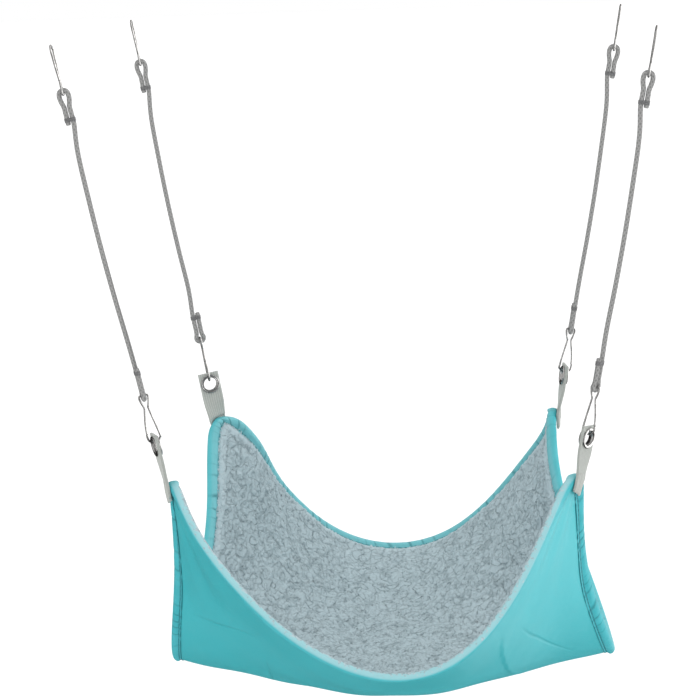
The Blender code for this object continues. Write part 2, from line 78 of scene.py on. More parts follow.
class Signal:
    """A socket in a material's nodes. Arithmetic on signals adds Math nodes."""

    def __init__(self, tree, socket=None):
        self.tree = tree
        self.socket = socket

    def node(self, kind, settings=(), values=(), output=0):
        """Add a node: its settings first, then a value or a signal for each named socket."""
        made = self.tree.nodes.new(kind)
        for name, setting in dict(settings).items():
            setattr(made, name, setting)
        for name, value in dict(values).items():
            if isinstance(value, Signal):
                self.tree.links.new(value.socket, made.inputs[name])
            else:
                made.inputs[name].default_value = value
        return Signal(self.tree, made.outputs[output])

    def math(self, operation, *others):
        return self.node("ShaderNodeMath", {"operation": operation},
                         dict(enumerate((self, *others))))

    def __add__(self, other):
        return self.math("ADD", other)

    def __sub__(self, other):
        return self.math("SUBTRACT", other)

    def __rsub__(self, other):
        return self.node("ShaderNodeMath", {"operation": "SUBTRACT"}, {0: other, 1: self})

    def __mul__(self, other):
        return self.math("MULTIPLY", other)

    __radd__ = __add__
    __rmul__ = __mul__

    def sine(self):
        return self.math("SINE")

    def size(self):
        """How far the signal is from 0, whatever its sign."""
        return self.math("ABSOLUTE")

    def or_more(self, other):
        """The larger of two signals."""
        return self.math("MAXIMUM", other)

    def between(self, low, high):
        """0 below the low value, 1 above the high one, smooth in between."""
        return self.node("ShaderNodeMapRange", {"interpolation_type": "SMOOTHSTEP"},
                         {"Value": self, "From Min": low, "From Max": high})

    def mix(self, first, second):
        """The first colour where this signal is 0, the second where it is 1."""
        return self.node("ShaderNodeMix", {"data_type": "RGBA"},
                         {"Factor": self, 6: first, 7: second}, output=2)


def parts_of(vector, axes="XY"):
    """A vector's own number along each of the named axes."""
    return [vector.node("ShaderNodeSeparateXYZ", values={"Vector": vector}, output=axis)
            for axis in axes]


world = bpy.data.worlds.new("studio")
world.use_nodes = True
bpy.context.scene.world = world
sky = Signal(world.node_tree)
toward_x, toward_y, toward_z = parts_of(sky.node("ShaderNodeTexCoord", output="Generated"), "XYZ")
soft = (SOFT_LIGHT + SOFT_FROM_ABOVE * toward_z + SOFT_FROM_RIGHT * toward_x
        + SOFT_FROM_BEHIND * toward_y)
stripes = (toward_x * toward_y * STRIPE_SLANT + toward_z * STRIPE_RISE).between(*STRIPE_EDGES)
mirrored = GAP_LIGHT + STRIPE_LIGHT * stripes + PANEL_LIGHT * toward_x.between(*PANEL_EDGES)
is_camera = sky.node("ShaderNodeLightPath", output="Is Camera Ray")
is_glossy = sky.node("ShaderNodeLightPath", output="Is Glossy Ray")
lit = is_glossy * mirrored + (1 - is_glossy) * soft
light = is_camera + (1 - is_camera) * lit
background = world.node_tree.nodes["Background"]
world.node_tree.links.new(light.socket, background.inputs["Strength"])
background.inputs["Color"].default_value = WHITE


def new_finish(name, **fixed):
    """A new material, its Principled shader with fixed values, and a signal to build on."""
    material = bpy.data.materials.new(name)
    material.use_nodes = True
    shader = material.node_tree.nodes["Principled BSDF"]
    for socket, value in fixed.items():
        shader.inputs[socket.replace("_", " ")].default_value = value
    return material, shader, Signal(material.node_tree)


def feed(shader, **signals):
    """Link signals to the shader's sockets that may vary over a surface."""
    for socket, signal in signals.items():
        signal.tree.links.new(signal.socket, shader.inputs[socket.replace("_", " ")])


floor_finish = new_finish("studio_floor", Roughness=FLOOR_ROUGHNESS, Base_Color=FLOOR_COLOR,
                          Emission_Color=WHITE, Emission_Strength=FLOOR_GLOW)[0]
floor_mesh = bpy.data.meshes.new("floor")
floor_mesh.from_pydata([(x * FLOOR_HALF, y * FLOOR_HALF, FLOOR_HEIGHT)
                        for x, y in ((-1, -1), (1, -1), (1, 1), (-1, 1))], [], [(0, 1, 2, 3)])
floor_mesh.materials.append(floor_finish)
floor = bpy.data.objects.new("floor", floor_mesh)
bpy.context.scene.collection.objects.link(floor)
floor.visible_glossy = False

key = bpy.data.objects.new("key_light", bpy.data.lights.new("key_light", "AREA"))
key.data.energy = KEY_POWER
key.data.size = KEY_SIZE
key.location = KEY_PLACE
key.rotation_euler = (KEY_AIM - KEY_PLACE).to_track_quat("-Z", "Y").to_euler()
bpy.context.scene.collection.objects.link(key)
bpy.context.scene.view_settings.view_transform = "Standard"


# Outer fabric: a 300 mm square of smooth turquoise polyester, hung by its corners. It is cut
# with hollow left and right sides and rounded corners, and is sewn back to back to the plush.
SHEET_SIDE = 0.300
CORNER_RADIUS = 0.022
FRONT_CORNER_HALF, BACK_CORNER_HALF = 0.1014, 0.0917
LEFT_MIDDLE_HALF, RIGHT_MIDDLE_HALF, MIDDLE_FALL = 0.1104, 0.1180, 4.5
SIDE_SAG, CENTRE_SAG, FRONT_SAG, BACK_SAG = 0.1217, 0.1343, 0.0935, 0.1035
FRONT_CURVE, BACK_CURVE, FRONT_LEAN_SHARE = 0.092, 0.030, 0.098
TURN_REACH = 0.040
CLEARANCE = 0.0003
FABRIC, PLUSH, PLUSH_PRESSED, TAPE = 0.0008, 0.0035, 0.0012, 0.0007
BINDING_WIDTH, BINDING_GAP = 0.0070, 0.0005
TAB_THICKNESS, TAB_REACH, EYELET_PLACE = 0.0014, 0.0189, 0.199565
# Side along X, side along Y, turns of the tab and of the sheet's corner in degrees, and how
# much further out the hook hangs than the corner.
CORNERS = {"front_left": (-1, -1, 20, -6, 0.0445), "front_right": (1, -1, 35, -3, 0.0400),
           "back_left": (-1, 1, 75, -29, 0.0360), "back_right": (1, 1, 10, -19, 0.0372)}
# Broad waves of the hung cloth: the height of each, and the radians to the metre of its two
# sines along X and along Y, with the angle at which each starts.
WAVES = ((0.0007, (41, 23, 0.6), (-17, 29, 1.9)), (0.0004, (83, -61, 2.2), (37, 71, 0)))
# Folds that fan out from each tab: the tab's sides, the folds in a full circle round it, and
# the angle at which they start.
CORNER_FOLDS = ((-1, -1, 9, 0.3), (1, -1, 11, 1.2), (-1, 1, 9, 2.2), (1, 1, 10, 0.9))
CORNER_FOLD_HEIGHT, CORNER_FOLD_REACH, CORNER_FOLD_ROOT = 0.0008, 0.065, 0.03
FLAT_RIM_SHARE = 0.03
PLEAT_PLACE, PLEAT_WIDTH, PLEAT_DEPTH = 0.083, 0.016, 0.0009
PLEAT_SLANT, PLEAT_FOOT, PLEAT_MIDDLE, PLEAT_HALF = 0.10, -0.100, -0.080, 0.040
# Creases left from packing: the middle of each on the flat cloth, its direction in degrees
# and half its length.
PRESSED_FOLDS = ((-0.105, -0.0925, -34, 0.045), (-0.077, -0.058, 88, 0.036),
                 (0.112, -0.074, 66, 0.045), (-0.040, 0.070, 3, 0.060), (0.052, 0.020, 86, 0.055))
FOLD_HALF_WIDTH, FOLD_DEPTH, FOLD_WANDER, FOLD_EVEN_SHARE = 0.0014, 0.0003, 0.004, 0.2
FABRIC_CELLS, COARSE_STEP = 240, 4
FABRIC_COLOR, FABRIC_PALE = (0.036, 0.435, 0.482, 1), (0.050, 0.480, 0.530, 1)
# The cloth's colour is darkened along the pressed creases as painted shade.
FOLD_PAINTED_SHADE, FOLD_SHADE = (0.024, 0.330, 0.370, 1), 0.22
FABRIC_ROUGHNESS, WEAVE_WAVE, WEAVE_DEPTH = 0.42, 11000, 0.00006
CLOUD_SCALE, CLOUD_DEPTH, CLOUD_SPREAD, FABRIC_GRAIN = 22, 0.0015, (0.3, 0.7), 900

HALF = SHEET_SIDE / 2
BINDING_OUT = FABRIC + BINDING_GAP + TAPE
BINDING_IN = CLEARANCE + PLUSH_PRESSED + BINDING_GAP + TAPE
TAB_OFFSET = BINDING_OUT + CLEARANCE + TAB_THICKNESS / 2
SLING_LENGTH = EYELET_PLACE + TAB_REACH
ARC_SHARE = 1 - (1 - math.sqrt(0.5)) * CORNER_RADIUS / HALF
EDGE_SHARE = 1 - (TAPE + CLEARANCE) / HALF


def unit(vectors):
    return vectors / np.linalg.norm(vectors, axis=-1, keepdims=True)


def round_corners(u, v):
    """The square -1..1 with its corners pulled on to arcs: past the corner's start, each
    share p is shortened by the square root of 1 - q * q / 2, q being the other side's share.
    """
    share = CORNER_RADIUS / HALF
    past_u, past_v = (np.clip((np.abs(w) - (1 - share)) / share, 0, None) for w in (u, v))
    round_u = past_u * np.sqrt(np.clip(1 - past_v ** 2 / 2, 0, None))
    round_v = past_v * np.sqrt(np.clip(1 - past_u ** 2 / 2, 0, None))
    return (np.sign(u) * (np.abs(u) + share * (round_u - past_u)),
            np.sign(v) * (np.abs(v) + share * (round_v - past_v)))


def even_sheet(u, v):
    """Each line from front to back is a catenary of the sheet's own length, z = keel +
    hypot(bend, length) - bend, hung from the front and back edges, which are catenaries too.
    """
    lean = np.where(v < 0, FRONT_LEAN_SHARE, 0)
    curve = np.where(v < 0, FRONT_CURVE, BACK_CURVE)
    sag = np.where(v < 0, FRONT_SAG, BACK_SAG)
    along = HALF * (u - lean * (1 - u ** 2) ** 2)
    rise = (np.hypot(curve, along) - curve) / (np.hypot(curve, HALF) - curve)
    keel = -CENTRE_SAG + (CENTRE_SAG - SIDE_SAG) * u ** 2
    drop = -sag * (1 - rise) - keel
    bend = (HALF ** 2 - drop ** 2) / (2 * drop)
    length = HALF * np.abs(v)
    mean_half = (FRONT_CORNER_HALF + BACK_CORNER_HALF) / 2
    taper = (BACK_CORNER_HALF - FRONT_CORNER_HALF) / 2
    middle = (LEFT_MIDDLE_HALF * (1 - u) + RIGHT_MIDDLE_HALF * (1 + u)) / 2
    fall = np.clip(1 - v ** 2, 0, None) ** MIDDLE_FALL
    width = mean_half + taper * v + (middle - mean_half) * fall
    gathered = np.arcsinh(HALF * u / curve) / np.arcsinh(HALF / curve)
    return np.stack([width * (u + (gathered - u) * v ** 2),
                     np.sign(v) * bend * np.arcsinh(length / bend),
                     keel + np.hypot(bend, length) - bend], axis=-1)


def hanging_sheet(u, v):
    """The sheet with each corner turned about the upright line through its tab, by an angle
    that dies away with the square of the distance from it."""
    points = even_sheet(u, v)
    for side_x, side_y, _, corner_turn, _ in CORNERS.values():
        pin = even_sheet(np.array(side_x * ARC_SHARE), np.array(side_y * ARC_SHARE))
        away = HALF * np.hypot(u - side_x * ARC_SHARE, v - side_y * ARC_SHARE)
        angle = math.radians(corner_turn) * np.exp(-(away / TURN_REACH) ** 2)
        x, y = points[..., 0] - pin[0], points[..., 1] - pin[1]
        points = np.stack([pin[0] + x * np.cos(angle) - y * np.sin(angle),
                           pin[1] + x * np.sin(angle) + y * np.cos(angle),
                           points[..., 2]], axis=-1)
    return points


def sheet_slopes(u, v, step=0.0001):
    """Differences of the hanging sheet over a small step of u and of v, and its normal."""
    along_u = hanging_sheet(u + step, v) - hanging_sheet(u - step, v)
    along_v = hanging_sheet(u, v + step) - hanging_sheet(u, v - step)
    return along_u / (2 * step), along_v / (2 * step), unit(np.cross(along_u, along_v))


def relief(u, v):
    """Unevenness of the hung cloth: broad waves, and folds that fan out from each tab and
    die away with the square of the distance from it."""
    x, y = u * HALF, v * HALF
    height = sum(high * np.sin(a * x + b * y + c) * np.sin(d * x + e * y + f)
                 for high, (a, b, c), (d, e, f) in WAVES)
    for side_x, side_y, count, lean in CORNER_FOLDS:
        from_x, from_y = HALF - side_x * x, HALF - side_y * y
        away = np.hypot(from_x, from_y)
        angle = np.arctan2(from_y, from_x)
        height = height + CORNER_FOLD_HEIGHT * np.sin(count * angle + lean) * (
            np.exp(-(away / CORNER_FOLD_REACH) ** 2) * np.clip(away / CORNER_FOLD_ROOT, 0, 1))
    return height


def tab_foot(side_x, side_y):
    """Where a tab's middle layer crosses its rounded corner, before the sheet is hung."""
    place = np.array([side_x * ARC_SHARE]), np.array([side_y * ARC_SHARE])
    return (hanging_sheet(*place) - sheet_slopes(*place)[2] * TAB_OFFSET)[0]


LIFTS = [(side_x, side_y,
          -math.sqrt(SLING_LENGTH ** 2 - spread ** 2) - tab_foot(side_x, side_y)[2])
         for side_x, side_y, _, _, spread in CORNERS.values()]


def sheet_at(u, v, offset):
    """Point of the hung sheet: the hanging sheet, lifted so that all tabs end on their
    slings, and moved along its normal by the offset and the relief."""
    u, v, offset = np.broadcast_arrays(u, v, offset)
    inner = np.clip((1 - np.maximum(np.abs(u), np.abs(v))) / FLAT_RIM_SHARE, 0, 1)
    raised = offset + relief(u, v) * inner
    points = hanging_sheet(u, v) + sheet_slopes(u, v)[2] * raised[..., None]
    for side_x, side_y, lift in LIFTS:
        points[..., 2] += lift * (1 + side_x * u / ARC_SHARE) * (1 + side_y * v / ARC_SHARE) / 4
    return points


def new_piece(name, points, faces, finish, uv=None, **attributes):
    """Mesh object at the origin from an array of points and a list of faces, shaded smooth."""
    mesh = bpy.data.meshes.new(name)
    mesh.from_pydata(np.asarray(points).reshape(-1, 3).tolist(), [], faces)
    corner = np.empty(len(mesh.loops), dtype=int)
    mesh.loops.foreach_get("vertex_index", corner)
    if uv is not None:
        layer = mesh.uv_layers.new(name="cloth")
        layer.data.foreach_set("uv", np.asarray(uv).reshape(-1, 2)[corner].ravel())
    for key, values in attributes.items():
        mesh.attributes.new(key, "FLOAT", "POINT").data.foreach_set("value", values.ravel())
    mesh.shade_smooth()
    mesh.materials.append(finish)
    piece = bpy.data.objects.new(name, mesh)
    bpy.context.scene.collection.objects.link(piece)
    return piece


def grid_faces(rows, columns, first=0):
    """Quads of a grid whose points are numbered row by row from the first."""
    spot = first + np.arange(rows * columns).reshape(rows, columns)
    return np.stack([spot[:-1, :-1], spot[1:, :-1], spot[1:, 1:], spot[:-1, 1:]],
                    axis=-1).reshape(-1, 4)


def layer_piece(name, cells, shown, hidden, turn, finish, **attributes):
    """Closed layer of the sheet: a fine grid on the side that shows, one with every fourth
    line on the other, and walls that join each line of the coarse rim to the fine points
    between its ends. The turn is 1 where the plush side shows and -1 where the outer does."""
    fine = np.linspace(-EDGE_SHARE, EDGE_SHARE, cells + 1)
    coarse = fine[::COARSE_STEP]
    many, few = len(fine), len(coarse)
    square = np.meshgrid(fine, fine, indexing="ij")
    below = np.meshgrid(coarse, coarse, indexing="ij")
    top = shown(*round_corners(*square), np.maximum(*np.abs(square)))
    bottom = hidden(*round_corners(*below), np.maximum(*np.abs(below)))
    points = np.concatenate([top.reshape(-1, 3), bottom.reshape(-1, 3)])
    flat = np.concatenate([np.stack(square, -1).reshape(-1, 2),
                           np.stack(below, -1).reshape(-1, 2)]) * HALF
    faces = grid_faces(many, many).tolist() + grid_faces(few, few, many * many)[:, ::-1].tolist()
    spot = np.arange(many * many).reshape(many, many)
    base = many * many + np.arange(few * few).reshape(few, few)
    for rim, foot in ((spot[0, ::-1], base[0, ::-1]), (spot[-1], base[-1]),
                      (spot[:, 0], base[:, 0]), (spot[::-1, -1], base[::-1, -1])):
        steps = [rim[k:len(rim) - COARSE_STEP + k:COARSE_STEP] for k in range(COARSE_STEP + 1)]
        wall = np.stack([foot[:-1], foot[1:]] + steps[::-1], axis=-1)
        faces += wall.tolist()
    return new_piece(name, points, [face[::turn] for face in faces], finish, uv=flat, **attributes)


def pleat(u, v):
    """A small pressed pleat low on the right of the front: a sharp edge along a slanted line,
    from which the cloth falls back over its width."""
    x, y = u * HALF, v * HALF
    past = x - (PLEAT_PLACE + PLEAT_SLANT * (y - PLEAT_FOOT))
    fall = np.where(past > 0, np.exp(-np.clip(past, 0, None) / PLEAT_WIDTH), 0)
    return -PLEAT_DEPTH * fall * np.exp(-((y - PLEAT_MIDDLE) / PLEAT_HALF) ** 4)


def noise(place, scale, detail, twist=0):
    """Cloudy noise about a middle value of 0.5, its blots about a metre over the scale."""
    return place.node("ShaderNodeTexNoise", values={
        "Vector": place, "Scale": scale, "Detail": detail, "Distortion": twist})


def bumped(height, distance, *under):
    """Normal of a surface raised by a height signal of 0 to 1 times a distance in metres, on
    top of another normal where one is given."""
    return height.node("ShaderNodeBump", values={
        "Height": height, "Distance": distance, **dict(zip(["Normal"], under))})


def pressed_fold(x, y, wobble, middle_x, middle_y, degrees, half):
    """1 along a straight crease on the flat cloth, dying out at its ends and sides: distances
    from the middle are turned into the crease's own direction and set against its size."""
    cosine, sine = math.cos(math.radians(degrees)), math.sin(math.radians(degrees))
    from_x, from_y = x - middle_x, y - middle_y
    aside = from_y * cosine - from_x * sine + (wobble - 0.5) * FOLD_WANDER
    along = from_x * cosine + from_y * sine
    near = 1 - aside.size().between(0, FOLD_HALF_WIDTH)
    return near * (1 - along.size().between(half * FOLD_EVEN_SHARE, half))


fabric_finish, fabric_shader, at = new_finish("turquoise_polyester", Roughness=FABRIC_ROUGHNESS)
place = at.node("ShaderNodeTexCoord", output="Object")
thread_u, thread_v = parts_of(at.node("ShaderNodeTexCoord", output="UV"))
weave = (thread_u * WEAVE_WAVE).sine() * (thread_v * WEAVE_WAVE).sine()
cloudy = noise(place, CLOUD_SCALE, 4)
grain = noise(place, FABRIC_GRAIN, 2)
folds = sum(pressed_fold(thread_u, thread_v, cloudy, *fold) for fold in PRESSED_FOLDS)
tone = cloudy.between(*CLOUD_SPREAD) * 0.6 + grain * 0.25 + weave * 0.06
woven = bumped(weave * 0.5 + grain * 0.6, WEAVE_DEPTH, bumped(cloudy, CLOUD_DEPTH))
# Base colour darkened along the pressed creases as painted shade; the creases are bumped in too.
feed(fabric_shader,
     Base_Color=(folds * FOLD_SHADE).mix(tone.mix(FABRIC_COLOR, FABRIC_PALE), FOLD_PAINTED_SHADE),
     Normal=bumped(folds, -FOLD_DEPTH, woven))

outer_fabric = layer_piece("outer_fabric_cloth", FABRIC_CELLS,
                           lambda u, v, reach: sheet_at(u, v, -FABRIC + pleat(u, v)),
                           lambda u, v, reach: sheet_at(u, v, 0 * reach), -1, fabric_finish)
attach(outer_fabric, "sheet")
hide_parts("outer_fabric")


# Plush lining: grey curly plush of the same cut, laid pile up on the fabric. Its pile is
# about 3.5 mm deep, in small uneven curls, and is squeezed flat under the edge binding.
PLUSH_CELLS = 296
CURL_SPACING, CURL_HEIGHT, CURL_WARP, CURL_WAVES = 0.0034, 0.0015, 0.0011, (1700, 520, 1500, 610)
TUFT_SPACING, TUFT_HEIGHT, TUFT_WARP, TUFT_WAVES = 0.0072, 0.0009, 0.002, (310, 350)
TUFT_LEVEL, PILE_START, PILE_RISE = 0.3, 0.001, 0.0025
RANDOM_CELLS, CURL_SEED, TUFT_SEED = 128, 7, 11
FRINGE_WIDTH, FRINGE_TONE = 0.0022, 1.6
# The ends of the pile's tone: painted shade deep in the pile, painted highlight on the tips.
PLUSH_DEEP_SHADE, PLUSH_LIT_TIP = (0.215, 0.275, 0.300, 1), (0.490, 0.600, 0.640, 1)
PLUSH_ROUGHNESS, PLUSH_GLOSS, PILE_BUMP = 0.95, 0.15, 0.0006
CURL_SCALES, CURL_TWIST, CURL_LINE = (170, 300), 0.3, 0.09
FLEECE_SCALE, PATCH_SCALE = 900, 45


def scattered(x, y, spacing, seed):
    """Distance to the nearest and second nearest of one random point in each square of a
    grid, in units of the spacing, and the nearest point's own random value."""
    jitter = np.random.default_rng(seed).random((RANDOM_CELLS, RANDOM_CELLS, 3))
    cell_x, cell_y = np.floor(x / spacing).astype(int), np.floor(y / spacing).astype(int)
    near = np.full(x.shape, np.inf)
    second = np.full(x.shape, np.inf)
    value = np.zeros(x.shape)
    for step_x in (-1, 0, 1):
        for step_y in (-1, 0, 1):
            spot = jitter[(cell_x + step_x) % RANDOM_CELLS, (cell_y + step_y) % RANDOM_CELLS]
            away = np.hypot(x / spacing - (cell_x + step_x + spot[..., 0]),
                            y / spacing - (cell_y + step_y + spot[..., 1]))
            value = np.where(away < near, spot[..., 2], value)
            second = np.minimum(second, np.maximum(near, away))
            near = np.minimum(near, away)
    return near, second, value


def pile(u, v):
    """Heights from 0 to 1 of the curls and of the broader tufts. A curl swells from the lines
    that lie as far from its own random point as from the next one, on coordinates warped by
    sines. A tuft falls off with the square of the distance from its point."""
    x, y = u * HALF, v * HALF
    fast_x, slow_x, fast_y, slow_y = CURL_WAVES
    near, second, value = scattered(
        x + CURL_WARP * np.sin(fast_x * y + 3 * np.sin(slow_x * x)),
        y + CURL_WARP * np.sin(fast_y * x + 3 * np.sin(slow_y * y)), CURL_SPACING, CURL_SEED)
    curl = np.clip((second - near) * 1.5, 0, 1) ** 0.6 * (0.55 + 0.45 * value)
    wave_x, wave_y = TUFT_WAVES
    near, _, value = scattered(x + TUFT_WARP * np.sin(wave_x * y),
                               y + TUFT_WARP * np.sin(wave_y * x), TUFT_SPACING, TUFT_SEED)
    tuft = np.clip(1 - near ** 2, 0, 1) * (0.4 + 0.6 * value)
    return curl, tuft


def eased(share):
    """A share held between 0 and 1 with a level start and end: s * s * (3 - 2 * s)."""
    share = np.clip(share, 0, 1)
    return share * share * (3 - 2 * share)


def plush_top(u, v, reach):
    """The pile's top: its full depth with curls and tufts, and its pressed depth under the
    binding, with an eased step between them at the binding's lip."""
    curl, tuft = pile(u, v)
    risen = eased(((1 - reach) * HALF - BINDING_WIDTH + PILE_START) / PILE_RISE)
    full = PLUSH - CURL_HEIGHT + CURL_HEIGHT * curl + TUFT_HEIGHT * (tuft - TUFT_LEVEL)
    return sheet_at(u, v, CLEARANCE + PLUSH_PRESSED + (full - PLUSH_PRESSED) * risen)


def pile_shade_and_fringe():
    """Painted shade and highlight at every point of the lining, from the pile's own heights:
    three parts curl and one part tuft, dark in the hollows and light on the tops, and a pale
    fringe combed over the binding's lip. It is 0 on the hidden side."""
    fine = np.linspace(-EDGE_SHARE, EDGE_SHARE, PLUSH_CELLS + 1)
    square = np.meshgrid(fine, fine, indexing="ij")
    curl, tuft = pile(*round_corners(*square))
    inside = (1 - np.maximum(*np.abs(square))) * HALF - BINDING_WIDTH
    fringe = np.exp(-np.clip(inside / FRINGE_WIDTH, 0, None) ** 2)
    hidden = np.zeros((PLUSH_CELLS // COARSE_STEP + 1) ** 2)
    return np.concatenate([(0.75 * curl + 0.25 * tuft + FRINGE_TONE * fringe).ravel(), hidden])


def crease(cloud, width):
    """0 in the winding lines where a noise crosses its middle value, 1 between them."""
    return (cloud - 0.5).size().between(0, width)


plush_finish, plush_shader, at = new_finish("grey_plush", Roughness=PLUSH_ROUGHNESS,
                                            Specular_IOR_Level=PLUSH_GLOSS)
place = at.node("ShaderNodeTexCoord", output="Object")
depth = at.node("ShaderNodeAttribute", {"attribute_name": "curl"}, output="Fac")
fleece = noise(place, FLEECE_SCALE, 4)
patchy = noise(place, PATCH_SCALE, 3)
wide_curls, tight_curls = (crease(noise(place, scale, 0, CURL_TWIST), CURL_LINE)
                           for scale in CURL_SCALES)
curls = wide_curls * 0.55 + tight_curls * 0.45
# Painted shade and highlight: dark along the winding lines between the curls and in the pile's
# hollows, light on its tops; fleece and patches add random tone.
tone = curls * 0.46 + depth * 0.30 + fleece * 0.42 + patchy * 0.20 - 0.17
feed(plush_shader, Base_Color=tone.between(0, 1).mix(PLUSH_DEEP_SHADE, PLUSH_LIT_TIP),
     Normal=bumped(curls * 0.8 + fleece * 0.3, PILE_BUMP))

plush_lining = layer_piece("plush_lining_pile", PLUSH_CELLS, plush_top,
                           lambda u, v, reach: sheet_at(u, v, np.full_like(reach, CLEARANCE)),
                           1, plush_finish, curl=pile_shade_and_fringe())
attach(plush_lining, "sheet")
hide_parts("plush_lining")


# Edge binding: one turquoise tape folded over the raw edges of both layers all the way round
# and held by a line of stitches near its lips. It puckers there, and is mitred at the corners.
BINDING_STEPS, NOSE_POINTS, LIP_POINTS = 240, 13, 11
CORNER_CROWDING = 0.25
NOSE_DEPTH, LIP_START, LIP_RISE, LIP_TAPE_SHARE = 0.0022, 0.0036, 0.0004, 0.8
STITCH_INSET, STITCH_WIDTH, STITCH_SINK, STITCH_PITCH = 0.0055, 0.0007, 0.00022, 0.0026
SWELL_INSET, SWELL_WIDTH, SWELL_RISE = 0.0030, 0.0015, 0.00030
# Puckers: their pitch drifts by two sines and their strength by one, in radians to the metre.
PUCKER_PITCH, PUCKER_DEPTH, PUCKER_WIDTH, PUCKER_INSET = 0.0064, 0.0006, 0.45, 0.004
PITCH_DRIFTS, STRENGTH_DRIFT = ((0.35, 91, 0), (0.25, 223, 1)), (161, 2, 37)
PUCKER_MEAN, PUCKER_RANGE, PUCKER_WAVER, WAVER_WAVE, PUCKER_SLANT = 0.55, 0.45, 0.10, 310, 55
MITRE_WIDTH, MITRE_DEPTH = 0.0009, 0.0005
FRONT_SHARE, FRONT_FADE, FRONT_PUCKER, FRONT_SWELL = 0.65, 0.12, 0.1, 0.2
BINDING_COLOR, BINDING_PALE = (0.040, 0.415, 0.465, 1), (0.070, 0.485, 0.545, 1)
BINDING_INNER_LIT = (0.200, 0.560, 0.605, 1)
BINDING_NOSE_HIGHLIGHT, BINDING_SEAM_AND_SHADE = (0.370, 0.620, 0.660, 1), (0.010, 0.140, 0.170, 1)
FLUFF_DEEP_SHADE, FLUFF_LIT_TIP = (0.230, 0.310, 0.340, 1), (0.520, 0.640, 0.680, 1)
TAPE_ROUGHNESS, TAPE_GLOSS, TAPE_BUMP = 0.5, 0.3, 0.0004
TAPE_WAVE, TAPE_GRAIN, TAPE_CLOUDS, FLUFF_SCALE, FLUFF_TWIST = 9000, 600, 90, 340, 0.9
# Where each tint of the tape starts and ends, by the distance over the tape from its nose,
# or from the stitches for the seam.
NOSE_HIGHLIGHT_TINT, INNER_LIGHT_TINT, SEAM_TINT = (-0.0012, 0.0002), (-0.0008, 0.0014), (0.0001, 0.0006)
LIP_SHADOW_TINT, FLUFF_TINT, PUCKER_SHADE_TINT = (0.0063, 0.0070), (0.0052, 0.0062), (-0.0010, 0.0020)
FLUFF_WANDER, FLUFF_ON_FRONT, FRONT_ENDS = 0.005, 0.0050, (0.140, 0.152)


def binding_section():
    """The folded tape's own section as inset, offset, direction outwards and side: round the
    nose on an ellipse from the outer lip to the inner lip, each lip pressed down on its layer
    beyond the stitches, and back inside at one tape's thickness."""
    nose = NOSE_DEPTH
    turn = np.linspace(-math.pi / 2, math.pi / 2, NOSE_POINTS)
    run = np.linspace(BINDING_WIDTH, nose, LIP_POINTS)[:-1]
    inset = np.concatenate([run, nose - nose * np.cos(turn), run[::-1]])
    outward = np.concatenate([-np.ones_like(run), np.sin(turn), np.ones_like(run)])
    lip = eased((inset - LIP_START) / (STITCH_INSET - LIP_START))
    deep = BINDING_OUT + (FABRIC + LIP_RISE - BINDING_OUT) * lip
    high = BINDING_IN + (CLEARANCE + PLUSH_PRESSED + LIP_RISE - BINDING_IN) * lip
    offset = (high - deep) / 2 + (high + deep) / 2 * outward
    thick = TAPE + (LIP_RISE * LIP_TAPE_SHARE - TAPE) * lip
    inner_inset = np.where(inset < nose, nose - (nose - inset) * (nose - TAPE) / nose, inset)
    inner = (high - deep) / 2 + ((high + deep) / 2 - thick) * outward
    return (np.concatenate([inset, inner_inset[::-1]]), np.concatenate([offset, inner[::-1]]),
            np.concatenate([outward, 0 * outward]), np.concatenate([outward, outward[::-1]]))


def pucker_lines(run):
    """1 in the narrow creases across the tape, 0 between them. They come at an even pitch
    plus the drifts, and with uneven strength along the run."""
    phase = run / PUCKER_PITCH
    for share, wave, start in PITCH_DRIFTS:
        phase = phase + share * np.sin(wave * run + start)
    fast, swing, slow = STRENGTH_DRIFT
    strength = PUCKER_MEAN + PUCKER_RANGE * np.sin(fast * run + swing * np.sin(slow * run))
    return np.exp(-(np.sin(math.pi * phase) / PUCKER_WIDTH) ** 2) * strength


